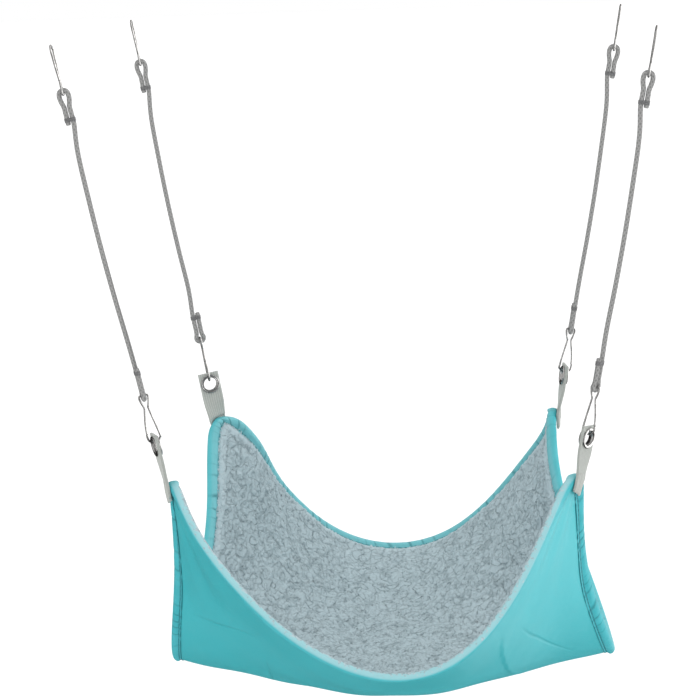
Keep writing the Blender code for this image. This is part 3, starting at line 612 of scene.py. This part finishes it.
def binding_loops():
    """Points of the binding: at each section point a loop round the sheet at its own inset,
    pressed in along the stitches, puckered across and folded in at each mitre. Along the
    front the outer lip is pulled flat, so that only its nose shows."""
    share = CORNER_RADIUS / HALF
    edge = 1 - share
    step = np.linspace(-1, 1, BINDING_STEPS + 1)
    walk = np.sign(step) * ((1 + CORNER_CROWDING) * np.abs(step) - CORNER_CROWDING * step ** 2)
    run = np.concatenate([walk[:-1], walk[:-1] + 2, walk[:-1] + 4, walk[:-1] + 6]) * HALF
    around = (run / HALF + 1) % 2
    mitre = np.exp(-(np.minimum(around, 2 - around) * HALF / MITRE_WIDTH) ** 2)
    front = np.clip((1 - np.abs(run / HALF)) / FRONT_FADE, 0, 1)
    loops, uvs = [], []
    for own_inset, own_offset, own_out, own_side in zip(*binding_section()):
        line = 1 - own_inset / HALF
        past = np.clip((np.abs(walk) - edge) / (1 - edge), 0, 1)
        depth = (line - edge) / share
        along = np.where(past > 0, np.sign(walk) * (edge + share * depth * past), walk)
        full = np.full(BINDING_STEPS, line)
        across = np.concatenate([along[:-1], full, along[:0:-1], -full])
        deep = np.concatenate([-full, along[:-1], full, along[:0:-1]])
        stitched = math.exp(-((own_inset - STITCH_INSET) / STITCH_WIDTH) ** 2)
        filled = math.exp(-((own_inset - SWELL_INSET) / SWELL_WIDTH) ** 2)
        waver = run + PUCKER_WAVER * own_inset * np.sin(WAVER_WAVE * run + own_out)
        pucker = (pucker_lines(waver) * min(own_inset / PUCKER_INSET, 1)
                  * (1 - (1 - FRONT_PUCKER) * front))
        swell = (SWELL_RISE * filled - STITCH_SINK * stitched - PUCKER_DEPTH * pucker
                 - MITRE_DEPTH * mitre)
        swell = swell * (1 - (1 - FRONT_SWELL) * front * (own_out < 0))
        level = own_offset * (1 - (1 - FRONT_SHARE) * front * (own_offset < 0))
        loops.append(sheet_at(*round_corners(across, deep), level + own_out * swell))
        uvs.append(np.stack([run, np.full_like(run, math.copysign(own_inset, own_side))], -1))
    return np.stack(loops, axis=1), np.stack(uvs, axis=1)


def ring_faces(stations, sides, closed=True):
    """Quads of a tube of stations, each a closed loop of points, its ends filled if open."""
    spot = np.arange(stations * sides).reshape(stations, sides)
    after = np.roll(spot, -1, axis=0) if closed else spot[1:]
    here = spot if closed else spot[:-1]
    faces = np.stack([here, np.roll(here, -1, 1), np.roll(after, -1, 1), after], -1)
    faces = faces.reshape(-1, 4).tolist()
    return faces if closed else faces + [spot[0, ::-1].tolist(), spot[-1].tolist()]


tape_finish, tape_shader, at = new_finish("turquoise_tape", Roughness=TAPE_ROUGHNESS,
                                          Specular_IOR_Level=TAPE_GLOSS)
place = at.node("ShaderNodeTexCoord", output="Object")
along_tape, over_tape = parts_of(at.node("ShaderNodeTexCoord", output="UV"))
from_nose = over_tape.size()
rib = (along_tape * TAPE_WAVE).sine()
grain = noise(place, TAPE_GRAIN, 3)
tone = noise(place, TAPE_CLOUDS, 3).between(*CLOUD_SPREAD) * 0.6 + grain * 0.3 + rib * 0.05
on_front = 1 - along_tape.size().between(*FRONT_ENDS)
dashes = (along_tape * (2 * math.pi / STITCH_PITCH)).sine().between(-0.2, 0.5)
# Dark stitches at their own pitch, with painted shade along the groove they sink into.
seam = (1 - (from_nose - STITCH_INSET).size().between(*SEAM_TINT)) * (0.75 + 0.25 * dashes)
# The same uneven creases as in pucker_lines, darkened in the colour as painted shade, and fibres of
# the pile that lie over the tape.
phase = along_tape * (1 / PUCKER_PITCH)
for share, wave, start in PITCH_DRIFTS:
    phase = phase + (along_tape * wave + start).sine() * share
phase = phase + over_tape * PUCKER_SLANT
fast, swing, slow = STRENGTH_DRIFT
strength = ((along_tape * fast + (along_tape * slow).sine() * swing).sine() * PUCKER_RANGE
            + PUCKER_MEAN)
narrow = 1 - (phase * math.pi).sine().size().between(0, PUCKER_WIDTH)
creases = narrow * strength * from_nose.between(*PUCKER_SHADE_TINT) * (1 - on_front)
winding = crease(noise(place, FLUFF_SCALE, 1, FLUFF_TWIST), CURL_LINE)
# Painted shade along the winding lines between the fibres, lighter on the fibres between them.
fluff_tone = winding * 0.6 + grain * 0.5 - 0.15
fluff = (over_tape + (grain - 0.5) * FLUFF_WANDER + on_front * FLUFF_ON_FRONT).between(*FLUFF_TINT)
# Painted shade: the stitch groove, a painted shadow where the lip steps down on to the cloth, and
# the pucker creases.
shaded = (seam * 0.9).or_more(from_nose.between(*LIP_SHADOW_TINT) * 0.85).or_more(creases * 0.5)
plain = tone.mix(BINDING_COLOR, BINDING_PALE)
# Painted light: the tape is paler on its inner side, which faces up to the light.
inner = (over_tape.between(*INNER_LIGHT_TINT) * 0.85).mix(plain, BINDING_INNER_LIT)
# Painted highlight: a pale band along the nose of the front binding, where the fold catches the
# light.
nose_highlighted = (over_tape.between(*NOSE_HIGHLIGHT_TINT) * on_front * 0.8).mix(inner, BINDING_NOSE_HIGHLIGHT)
sewn = (shaded * (1 - fluff)).mix(nose_highlighted, BINDING_SEAM_AND_SHADE)
feed(tape_shader, Base_Color=fluff.mix(sewn, fluff_tone.mix(FLUFF_DEEP_SHADE, FLUFF_LIT_TIP)),
     Normal=bumped(rib * 0.1 + grain * 0.2 - seam * 0.3 - creases + fluff * 0.2, TAPE_BUMP))

tape_points, tape_uvs = binding_loops()
edge_binding = new_piece("edge_binding_tape", tape_points, ring_faces(*tape_points.shape[:2]),
                         tape_finish, uv=tape_uvs)
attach(edge_binding, "sheet")
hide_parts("edge_binding")


# The four slings: each hangs from a cage bar in a straight line of hook, cord, hook and tab
# to its corner of the sheet, and each tab is turned as far as the photo shows.
def hang_sling(side_x, side_y, tab_turn, _, spread):
    """Bar, downward and outward directions of a sling, and its tab's face and width."""
    foot = tab_foot(side_x, side_y)
    drop = math.sqrt(SLING_LENGTH ** 2 - spread ** 2)
    out = unit(np.array([side_x * drop, 0, -spread]))
    deep = np.array([0.0, side_y, 0.0])
    angle = math.radians(tab_turn)
    return {"sides": (side_x, side_y), "bar": np.array([foot[0] + side_x * spread, foot[1], 0]),
            "down": unit(np.array([-side_x * spread, 0, -drop])), "out": out, "deep": deep,
            "face": out * math.cos(angle) + deep * math.sin(angle),
            "wide": deep * math.cos(angle) - out * math.sin(angle)}


slings = {name: hang_sling(*corner) for name, corner in CORNERS.items()}


def on_sling(sling, reach, side=0.0, direction="out"):
    """Point at a reach down a sling from its bar and at a side along one of its directions."""
    reach, side = np.broadcast_arrays(reach, side)
    return (sling["bar"] + reach[..., None] * sling["down"]
            + side[..., None] * sling[direction])


# Corner tabs: pale grey ribbed webbing, 11 mm wide, folded double over the eyelet's hole and
# sewn flat to the outside of each corner.
TAB_WIDTH, TAB_SEWN, TAB_FOLD = 0.0110, 0.0090, 0.0005
BORE_RADIUS, EYELET_WALL, FLANGE_RADIUS = 0.0035, 0.0004, 0.00515
HOLE_RADIUS = BORE_RADIUS + EYELET_WALL + CLEARANCE
RIB_COUNT, RIB_HEIGHT, RIM_SINK, PLY_GAP_HALF = 9, 0.00012, 0.00018, 0.00012
TAB_COLUMNS, TAB_RINGS, HOLE_POINTS, FREE_ROWS, SEWN_ROWS = 36, 7, 49, 26, 16
TAB_COLOR, TAB_PALE = (0.330, 0.350, 0.328, 1), (0.520, 0.545, 0.515, 1)
TAB_ROUGHNESS, TAB_SHEEN, SHEEN_ROUGHNESS, TAB_BUMP = 0.75, 0.2, 0.5, 0.00012
PICK_WAVE, TAB_GRAIN = 8400, 1100


def tab_surface(sling, reach, side, height):
    """A tab's points: straight down from the eyelet, turning smoothly until it lies square to
    the corner's diagonal, then along the sheet at its own offset."""
    side_x, side_y = sling["sides"]
    hand = side_x * side_y
    corner = np.array([side_x * ARC_SHARE]), np.array([side_y * ARC_SHARE])
    slope_u, slope_v, normal = (row[0] for row in sheet_slopes(*corner))
    inward = unit(-(slope_u * side_x + slope_v * side_y))
    lateral = np.cross(inward, normal) * hand
    wanted = (inward * (reach - TAB_REACH)[..., None] + lateral * side[..., None])
    solve = np.linalg.pinv(np.stack([slope_u, slope_v], axis=1))
    steps = wanted @ solve.T
    sewn = sheet_at(corner[0] + steps[..., 0], corner[1] + steps[..., 1], -TAB_OFFSET - height)
    share = eased((reach - TAB_WIDTH / 2) / (TAB_REACH - TAB_WIDTH / 2))[..., None]
    wide = sling["wide"] * (1 - share) + lateral * share
    wide = unit(wide - sling["down"] * (wide @ sling["down"])[..., None])
    face = np.cross(sling["down"], wide) * hand
    free = (on_sling(sling, EYELET_PLACE + reach) + wide * side[..., None]
            + face * height[..., None])
    return np.where((reach >= TAB_REACH)[..., None], sewn, free)


def tab_plan():
    """The tab laid flat as reach and side: rings from the hole to the square round it, then
    rows down to the sewn end. Both parts share the points along the square's lower side."""
    lower = np.arctan2(1, np.linspace(1, -1, TAB_COLUMNS + 1))
    rest = np.linspace(lower[-1], lower[0] + 2 * math.pi, HOLE_POINTS)[1:-1]
    angle = np.concatenate([lower, rest])
    square = TAB_WIDTH / 2 / np.maximum(np.abs(np.cos(angle)), np.abs(np.sin(angle)))
    share = np.linspace(0, 1, TAB_RINGS)[:, None]
    radius = HOLE_RADIUS + (square - HOLE_RADIUS) * share
    crown = np.where(np.sin(angle) < 0, TAB_FOLD * np.clip(-np.sin(angle) * 3 - 1.1, 0, 1), 0)
    ring = np.stack([radius * np.sin(angle) - crown * share, radius * np.cos(angle)], -1)
    rows = np.concatenate([np.linspace(TAB_WIDTH / 2, TAB_REACH, FREE_ROWS),
                           np.linspace(TAB_REACH, TAB_REACH + TAB_SEWN, SEWN_ROWS)[1:]])
    across = TAB_WIDTH / 2 * np.linspace(1, -1, TAB_COLUMNS + 1)
    strap = np.stack(np.meshgrid(rows[1:], across, indexing="ij"), -1)
    spot = np.arange(TAB_RINGS * len(angle)).reshape(TAB_RINGS, -1)
    after = np.roll(spot, -1, 1)
    around = np.stack([spot[:-1], spot[1:], after[1:], after[:-1]], -1).reshape(-1, 4)
    shared = spot[-1:, :TAB_COLUMNS + 1]
    numbers = np.concatenate([shared, spot.size + np.arange(
        strap[..., 0].size).reshape(strap.shape[:2])])
    down = np.stack([numbers[:-1, :-1], numbers[1:, :-1], numbers[1:, 1:], numbers[:-1, 1:]],
                    -1).reshape(-1, 4)
    return (np.concatenate([ring.reshape(-1, 2), strap.reshape(-1, 2)]),
            np.concatenate([around, down]))


def rim_edges(faces):
    """Edges that only one face has, each in that face's own direction."""
    pairs = np.concatenate([faces[:, [k, (k + 1) % faces.shape[1]]] for k in range(faces.shape[1])])
    code = np.sort(pairs, axis=1) @ np.array([1 << 24, 1])
    _, first, count = np.unique(code, return_index=True, return_counts=True)
    return pairs[first[count == 1]]


def tab_piece(name, sling, finish):
    """Both faces of a folded tab, ribbed across its width, and walls with a groove between
    the two plies."""
    plan, faces = tab_plan()
    reach, side = plan[:, 0], plan[:, 1]
    half = TAB_THICKNESS / 2
    rim = rim_edges(faces)
    at_rim = np.zeros(len(plan))
    at_rim[rim.ravel()] = 1
    rib = RIB_HEIGHT * np.cos(2 * math.pi * RIB_COUNT * side / TAB_WIDTH) * (1 - at_rim)
    level = half - RIM_SINK * at_rim
    top = tab_surface(sling, reach, side, level + rib)
    bottom = tab_surface(sling, reach, side, -level - rib)
    lip = tab_surface(sling, reach, side, np.full_like(reach, PLY_GAP_HALF))
    below = tab_surface(sling, reach, side, np.full_like(reach, -PLY_GAP_HALF))
    count = len(plan)
    quads = faces.tolist() + (faces[:, ::-1] + 3 * count).tolist()
    for level_from in range(3):
        low, high = rim + level_from * count, rim + (level_from + 1) * count
        quads += np.stack([low[:, 1], low[:, 0], high[:, 0], high[:, 1]], -1).tolist()
    points = np.concatenate([top, lip, below, bottom])
    used = np.unique(np.array(quads))
    renumber = np.full(len(points), -1)
    renumber[used] = np.arange(len(used))
    flat = np.tile(np.stack([reach, side], -1), (4, 1))
    return new_piece(name, points[used], renumber[np.array(quads)].tolist(), finish,
                     uv=flat[used])


web_finish, web_shader, at = new_finish("grey_webbing", Roughness=TAB_ROUGHNESS,
                                        Sheen_Weight=TAB_SHEEN, Sheen_Roughness=SHEEN_ROUGHNESS)
down_web, over_web = parts_of(at.node("ShaderNodeTexCoord", output="UV"))
ribs = (over_web * (2 * math.pi * RIB_COUNT / TAB_WIDTH) + math.pi / 2).sine()
picks = (down_web * PICK_WAVE).sine() * ribs
grain = noise(at.node("ShaderNodeTexCoord", output="Object"), TAB_GRAIN, 3)
tone = ribs * 0.28 + picks * 0.12 + grain * 0.5 + 0.25
feed(web_shader, Base_Color=tone.mix(TAB_COLOR, TAB_PALE),
     Normal=bumped(picks * 0.5 + grain * 0.5, TAB_BUMP))

for name, sling in slings.items():
    tab = tab_piece(f"tab_{name}_webbing", sling, web_finish)
    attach(tab, "sheet")
    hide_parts(f"tab_{name}")


# Eyelets: a plated steel barrel through each tab's hole, its bright flange rolled over on the
# outer face and closed on a thin washer behind.
FLANGE_CROWN, FLANGE_POINTS, ROUND_POINTS = 0.0003, 15, 48
STEEL_DARK, STEEL_BRIGHT = (0.36, 0.355, 0.35, 1), (0.62, 0.61, 0.60, 1)
STEEL_ROUGHNESS, SMEAR_ROUGHNESS, SMEAR_SCALE, SMEAR_SPREAD = 0.12, 0.20, 420, (0.35, 0.7)
STEEL_BUMP = 0.00005

UNDER_FLANGE = TAB_THICKNESS / 2 + CLEARANCE
RIM_HALF = UNDER_FLANGE + EYELET_WALL


def turned(centre, axis, side, profile):
    """A profile of radius and height pairs turned about an axis."""
    angle = np.linspace(0, 2 * math.pi, ROUND_POINTS, endpoint=False)[:, None]
    out = side * np.cos(angle) + np.cross(axis, side) * np.sin(angle)
    return (centre + axis * profile[None, :, 1, None]
            + out[:, None, :] * profile[None, :, 0, None])


def flange_crown(inner):
    """The rolled flange's upper side as radius and height: half an ellipse from bore to rim."""
    turn = np.linspace(math.pi, 0, FLANGE_POINTS)
    middle, reach = (inner + FLANGE_RADIUS) / 2, (FLANGE_RADIUS - inner) / 2
    rise = RIM_HALF + FLANGE_CROWN - UNDER_FLANGE
    return np.stack([middle + reach * np.cos(turn), UNDER_FLANGE + rise * np.sin(turn)], -1)


steel_finish, steel_shader, at = new_finish("plated_steel", Metallic=1.0)
smear = noise(at.node("ShaderNodeTexCoord", output="Object"), SMEAR_SCALE, 4)
feed(steel_shader, Base_Color=smear.between(*SMEAR_SPREAD).mix(STEEL_DARK, STEEL_BRIGHT),
     Roughness=STEEL_ROUGHNESS + SMEAR_ROUGHNESS * smear, Normal=bumped(smear, STEEL_BUMP))

barrel = [(BORE_RADIUS, -RIM_HALF), *flange_crown(BORE_RADIUS),
          (BORE_RADIUS + EYELET_WALL, UNDER_FLANGE), (BORE_RADIUS + EYELET_WALL, -RIM_HALF)]
for name, sling in slings.items():
    for part, profile in (("eyelet", np.array(barrel)),
                          ("eyelet_washer", flange_crown(HOLE_RADIUS) * [1, -1])):
        points = turned(on_sling(sling, EYELET_PLACE), sling["face"], sling["wide"], profile)
        eyelet = new_piece(f"{part}_{name}_ring", points, ring_faces(*points.shape[:2]),
                           steel_finish)
        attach(eyelet, "sheet")
        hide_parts(f"{part}_{name}")


# Cords: four lengths of round grey braided cord, 2.4 mm thick, each doubled back at both ends
# into a loop. The upper loop is open, the lower one is pulled tight round the hook's eye.
CORD_DIAMETER, CORD_SPAN, CORD_BOW = 0.0024, 0.1544, 0.0015
WIRE_RADIUS, HOOK_BEND_RADIUS, HOOK_REACH = 0.0005, 0.0032, 0.0234
UPPER_LOOP_LENGTH, UPPER_LOOP_HALF, UPPER_DOUBLED = 0.0082, 0.0023, 0.0165
LOWER_LOOP_LENGTH, LOWER_DOUBLED = 0.0048, 0.0155
CORD_COLOR, CORD_PALE = (0.150, 0.150, 0.150, 1), (0.360, 0.360, 0.355, 1)
CORD_ROUGHNESS, CORD_SHEEN, BRAID_DEPTH = 0.8, 0.15, 0.00022
BRAID_WAVE, BRAID_STRANDS, CORD_GRAIN, CORD_SIDES = 2400, 4, 1500, 14
# The upper loop's bends, as shares of its half width and length, and the straight stretch's
# points, as shares of its length.
UPPER_LOOP_SHARES = ((0.84, 0.70), (1.0, 0.38), (0.76, 0.10))
STRETCH_SHARES, LOOP_STEPS, STRETCH_STEPS = np.array([0.12, 0.3, 0.5, 0.7, 0.88]), 6, 20
END_LENGTH_SHARE, END_RADIUS_SHARE = 0.3, 0.75

CORD_RADIUS = CORD_DIAMETER / 2
LINK_GAP = WIRE_RADIUS + CLEARANCE + CORD_RADIUS
STRAND_HALF = CORD_RADIUS + CLEARANCE / 2
UPPER_LINK = HOOK_REACH - LINK_GAP
LOWER_LINK = UPPER_LINK + CORD_SPAN
LOWER_CONTACT = LOWER_LINK - LINK_GAP + HOOK_REACH


def smooth_line(points, steps):
    """Catmull-Rom curve through the points, each stretch in the given number of steps."""
    route = np.concatenate([2 * points[:1] - points[1:2], points, 2 * points[-1:] - points[-2:-1]])
    before, first, second, after = (route[k:len(route) - 3 + k, None] for k in range(4))
    t = (np.arange(steps) / steps)[None, :, None]
    line = 0.5 * (2 * first + (second - before) * t
                  + (2 * before - 5 * first + 4 * second - after) * t ** 2
                  + (3 * first - before - 3 * second + after) * t ** 3)
    return np.concatenate([line.reshape(-1, points.shape[1]), points[-1:]])


def tube(path, reference, radius, sides):
    """Round tube along a path. Each ring is square to the path, and starts at the side that
    is square to the reference direction too. A smaller ring rounds off each end."""
    tangent = unit(np.gradient(path, axis=0))
    side = unit(np.cross(reference, tangent))
    up = np.cross(tangent, side)
    angle = np.linspace(0, 2 * math.pi, sides, endpoint=False)
    ring = (side[:, None] * np.cos(angle)[None, :, None]
            + up[:, None] * np.sin(angle)[None, :, None])
    points = path[:, None] + ring * radius
    onward = tangent[:, None] * radius * END_LENGTH_SHARE
    small = ring * radius * END_RADIUS_SHARE
    points = np.concatenate([path[:1, None] - onward[:1] + small[:1], points,
                             path[-1:, None] + onward[-1:] + small[-1:]])
    run = np.concatenate([[0], np.cumsum(np.linalg.norm(np.diff(path, axis=0), axis=1))])
    run = np.concatenate([run[:1], run, run[-1:]])
    uv = np.stack(np.broadcast_arrays(run[:, None], angle[None] / (2 * math.pi)), -1)
    return points, uv


def cord_end(bends, length, doubled):
    """Side and reach of a cord's end: tail, bends to the loop's tip, and back."""
    half = [(STRAND_HALF, doubled), (STRAND_HALF, (length + doubled) / 2),
            (STRAND_HALF, length)] + bends
    return np.array(half + [(0, 0)] + [(-side, reach) for side, reach in reversed(half)])


def cord_path(sling):
    """The cord's middle line through the same points as its solid: the upper loop's end, the
    stretch with its slight bow, half a sine, and the lower loop round the hook's eye."""
    bends = [(UPPER_LOOP_HALF * wide, UPPER_LOOP_LENGTH * far)
             for wide, far in UPPER_LOOP_SHARES]
    head = cord_end(bends, UPPER_LOOP_LENGTH, UPPER_DOUBLED)
    head = on_sling(sling, UPPER_LINK + head[:, 1], head[:, 0], "out")
    fold = math.sqrt(0.5)
    bends = [(LINK_GAP, LINK_GAP), (LINK_GAP * fold, LINK_GAP * (1 - fold))]
    foot = cord_end(bends, LOWER_LOOP_LENGTH, LOWER_DOUBLED)
    foot = on_sling(sling, LOWER_LINK - foot[:, 1], -foot[:, 0], "wide")
    begin, finish = UPPER_LINK + UPPER_DOUBLED, LOWER_LINK - LOWER_DOUBLED
    run = on_sling(sling, begin + (finish - begin) * STRETCH_SHARES,
                   CORD_BOW * np.sin(math.pi * STRETCH_SHARES))
    stretch = np.concatenate([head[-1:], run, foot[:1]])
    path = np.concatenate([smooth_line(head, LOOP_STEPS)[:-1],
                           smooth_line(stretch, STRETCH_STEPS)[:-1],
                           smooth_line(foot, LOOP_STEPS)])
    reach = (path - sling["bar"]) @ sling["down"]
    turned_share = np.clip((reach - begin) / (finish - begin), 0, 1)[:, None]
    return path, unit(sling["deep"] * (1 - turned_share) + sling["face"] * turned_share)


cord_finish, cord_shader, at = new_finish("grey_cord", Roughness=CORD_ROUGHNESS,
                                          Sheen_Weight=CORD_SHEEN,
                                          Sheen_Roughness=SHEEN_ROUGHNESS)
down_cord, round_cord = parts_of(at.node("ShaderNodeTexCoord", output="UV"))
wound = round_cord * (2 * math.pi * BRAID_STRANDS)
braid = (down_cord * BRAID_WAVE + wound).sine().or_more((down_cord * BRAID_WAVE - wound).sine())
grain = noise(at.node("ShaderNodeTexCoord", output="Object"), CORD_GRAIN, 3)
tone = braid.between(-0.6, 0.9) * 0.55 + grain * 0.45
feed(cord_shader, Base_Color=tone.mix(CORD_COLOR, CORD_PALE),
     Normal=bumped(braid * 0.6 + grain * 0.3, BRAID_DEPTH))

for name, sling in slings.items():
    path, reference = cord_path(sling)
    points, uv = tube(path, reference, CORD_RADIUS, CORD_SIDES)
    cord = new_piece(f"cord_{name}_braid", points, ring_faces(*points.shape[:2], False),
                     cord_finish, uv=uv)
    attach(cord, f"cord_{name}")
    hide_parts(f"cord_{name}")


# Cord stitching: dark thread wound round both strands near each cut end, so that the loop
# can't open.
STITCH_LENGTH, CORD_STITCH_INSET, THREAD_RADIUS, THREAD_TURNS = 0.0022, 0.0010, 0.00014, 8
TURN_STEPS, THREAD_SIDES, WOUND_SHARE = 24, 6, 0.9
THREAD_COLOR, THREAD_PALE = (0.100, 0.100, 0.102, 1), (0.240, 0.240, 0.245, 1)
THREAD_ROUGHNESS, TWIST_SCALE, TWIST_BUMP = 0.6, 2600, 0.0001


def wound_thread(sling, reach, side, depth):
    """Thread wound on both strands: a screw line on an oval of two half circles."""
    turn = np.linspace(0, 2 * math.pi * THREAD_TURNS, TURN_STEPS * THREAD_TURNS + 1)
    radius = CORD_RADIUS + THREAD_RADIUS
    spread = STRAND_HALF * np.tanh(4 * np.cos(turn)) + radius * np.cos(turn)
    along = STITCH_LENGTH * (turn / turn[-1] - 0.5) * WOUND_SHARE
    return (on_sling(sling, reach + along, spread, side)
            + (radius * np.sin(turn))[:, None] * sling[depth])


thread_finish, thread_shader, at = new_finish("dark_thread", Roughness=THREAD_ROUGHNESS)
twist = noise(at.node("ShaderNodeTexCoord", output="Object"), TWIST_SCALE, 2)
feed(thread_shader,
     Base_Color=twist.between(*CLOUD_SPREAD).mix(THREAD_COLOR, THREAD_PALE),
     Normal=bumped(twist, TWIST_BUMP))

for name, sling in slings.items():
    upper_seam = UPPER_LINK + UPPER_DOUBLED - CORD_STITCH_INSET - STITCH_LENGTH / 2
    lower_seam = LOWER_LINK - LOWER_DOUBLED + CORD_STITCH_INSET + STITCH_LENGTH / 2
    for end, reach, side, depth in (("upper", upper_seam, "out", "deep"),
                                    ("lower", lower_seam, "wide", "face")):
        path = wound_thread(sling, reach, side, depth)
        points = tube(path, sling["down"][None], THREAD_RADIUS, THREAD_SIDES)[0]
        thread = new_piece(f"{end}_stitching_{name}_thread", points,
                           ring_faces(*points.shape[:2], False), thread_finish)
        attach(thread, f"cord_{name}")
        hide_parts(f"{end}_stitching_{name}")


# Snap hooks: one plated steel wire bent to a hook at one end and a narrow eye at the other.
# The wire's end leg is sprung against the hook's nose and is pushed in to open it.
HOOK_NOSE, NECK_HALF, NECK_REACH, EYE_HALF = 0.0013, 0.0011, 0.0168, 0.0023
BEND_POINTS, WIRE_STEPS, WIRE_SIDES = 9, 4, 12
# The sprung leg's bends, as shares of its length and of its way out from neck to nose.
GATE_SHARES = np.array([(0, 0), (0.22, 0.30), (0.48, 0.66), (0.74, 0.92), (0.90, 1.0), (1, 1)])


def hook_wire():
    """Reach and side of the wire's middle line: half a circle from the nose, the fixed leg
    down to the neck, round the eye and back to the neck."""
    centre = HOOK_BEND_RADIUS - WIRE_RADIUS
    turn = np.linspace(0, math.pi, BEND_POINTS)
    bend = np.stack([centre - HOOK_BEND_RADIUS * np.sin(turn), HOOK_BEND_RADIUS * np.cos(turn)], -1)
    corner = EYE_HALF / 3
    waist = HOOK_REACH - LINK_GAP - CORD_RADIUS
    rest = np.array([
        (NECK_REACH - corner, -NECK_HALF), (NECK_REACH + corner, -NECK_HALF),
        (waist, -EYE_HALF + corner / 2), (HOOK_REACH - corner, -EYE_HALF),
        (HOOK_REACH, -EYE_HALF + corner), (HOOK_REACH, EYE_HALF - corner),
        (HOOK_REACH - corner, EYE_HALF), (waist, EYE_HALF - corner / 2),
        (NECK_REACH + corner, NECK_HALF), (NECK_REACH, NECK_HALF)])
    return np.concatenate([[(centre + HOOK_NOSE, HOOK_BEND_RADIUS)], bend, rest])


def gate_wire():
    """Reach and side of the sprung leg from its root at the neck to the hook's nose."""
    root = NECK_REACH - CLEARANCE / 2
    tip = HOOK_BEND_RADIUS - WIRE_RADIUS + HOOK_NOSE + CLEARANCE
    length = root - CLEARANCE / 2 - tip
    tip_side = HOOK_BEND_RADIUS - WIRE_RADIUS / 2
    along, outward = GATE_SHARES.T
    return np.stack([tip + length * (1 - along), NECK_HALF + (tip_side - NECK_HALF) * outward], -1)


for name, sling in slings.items():
    for end, start, sense, direction, normal, body in (
            ("upper", 0, 1, "deep", "out", "upper_hooks"),
            ("lower", LOWER_CONTACT, -1, "face", "wide", f"cord_{name}")):
        for part, outline, rides_on in (("hook", hook_wire(), body),
                                        ("gate", gate_wire(), f"{end}_gate_{name}")):
            line = smooth_line(outline, WIRE_STEPS)
            path = on_sling(sling, start + sense * line[:, 0], line[:, 1], direction)
            points = tube(path, sling[normal][None], WIRE_RADIUS, WIRE_SIDES)[0]
            wire = new_piece(f"{end}_{part}_{name}_wire", points,
                             ring_faces(*points.shape[:2], False), steel_finish)
            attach(wire, rides_on)
            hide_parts(f"{end}_{part}_{name}")
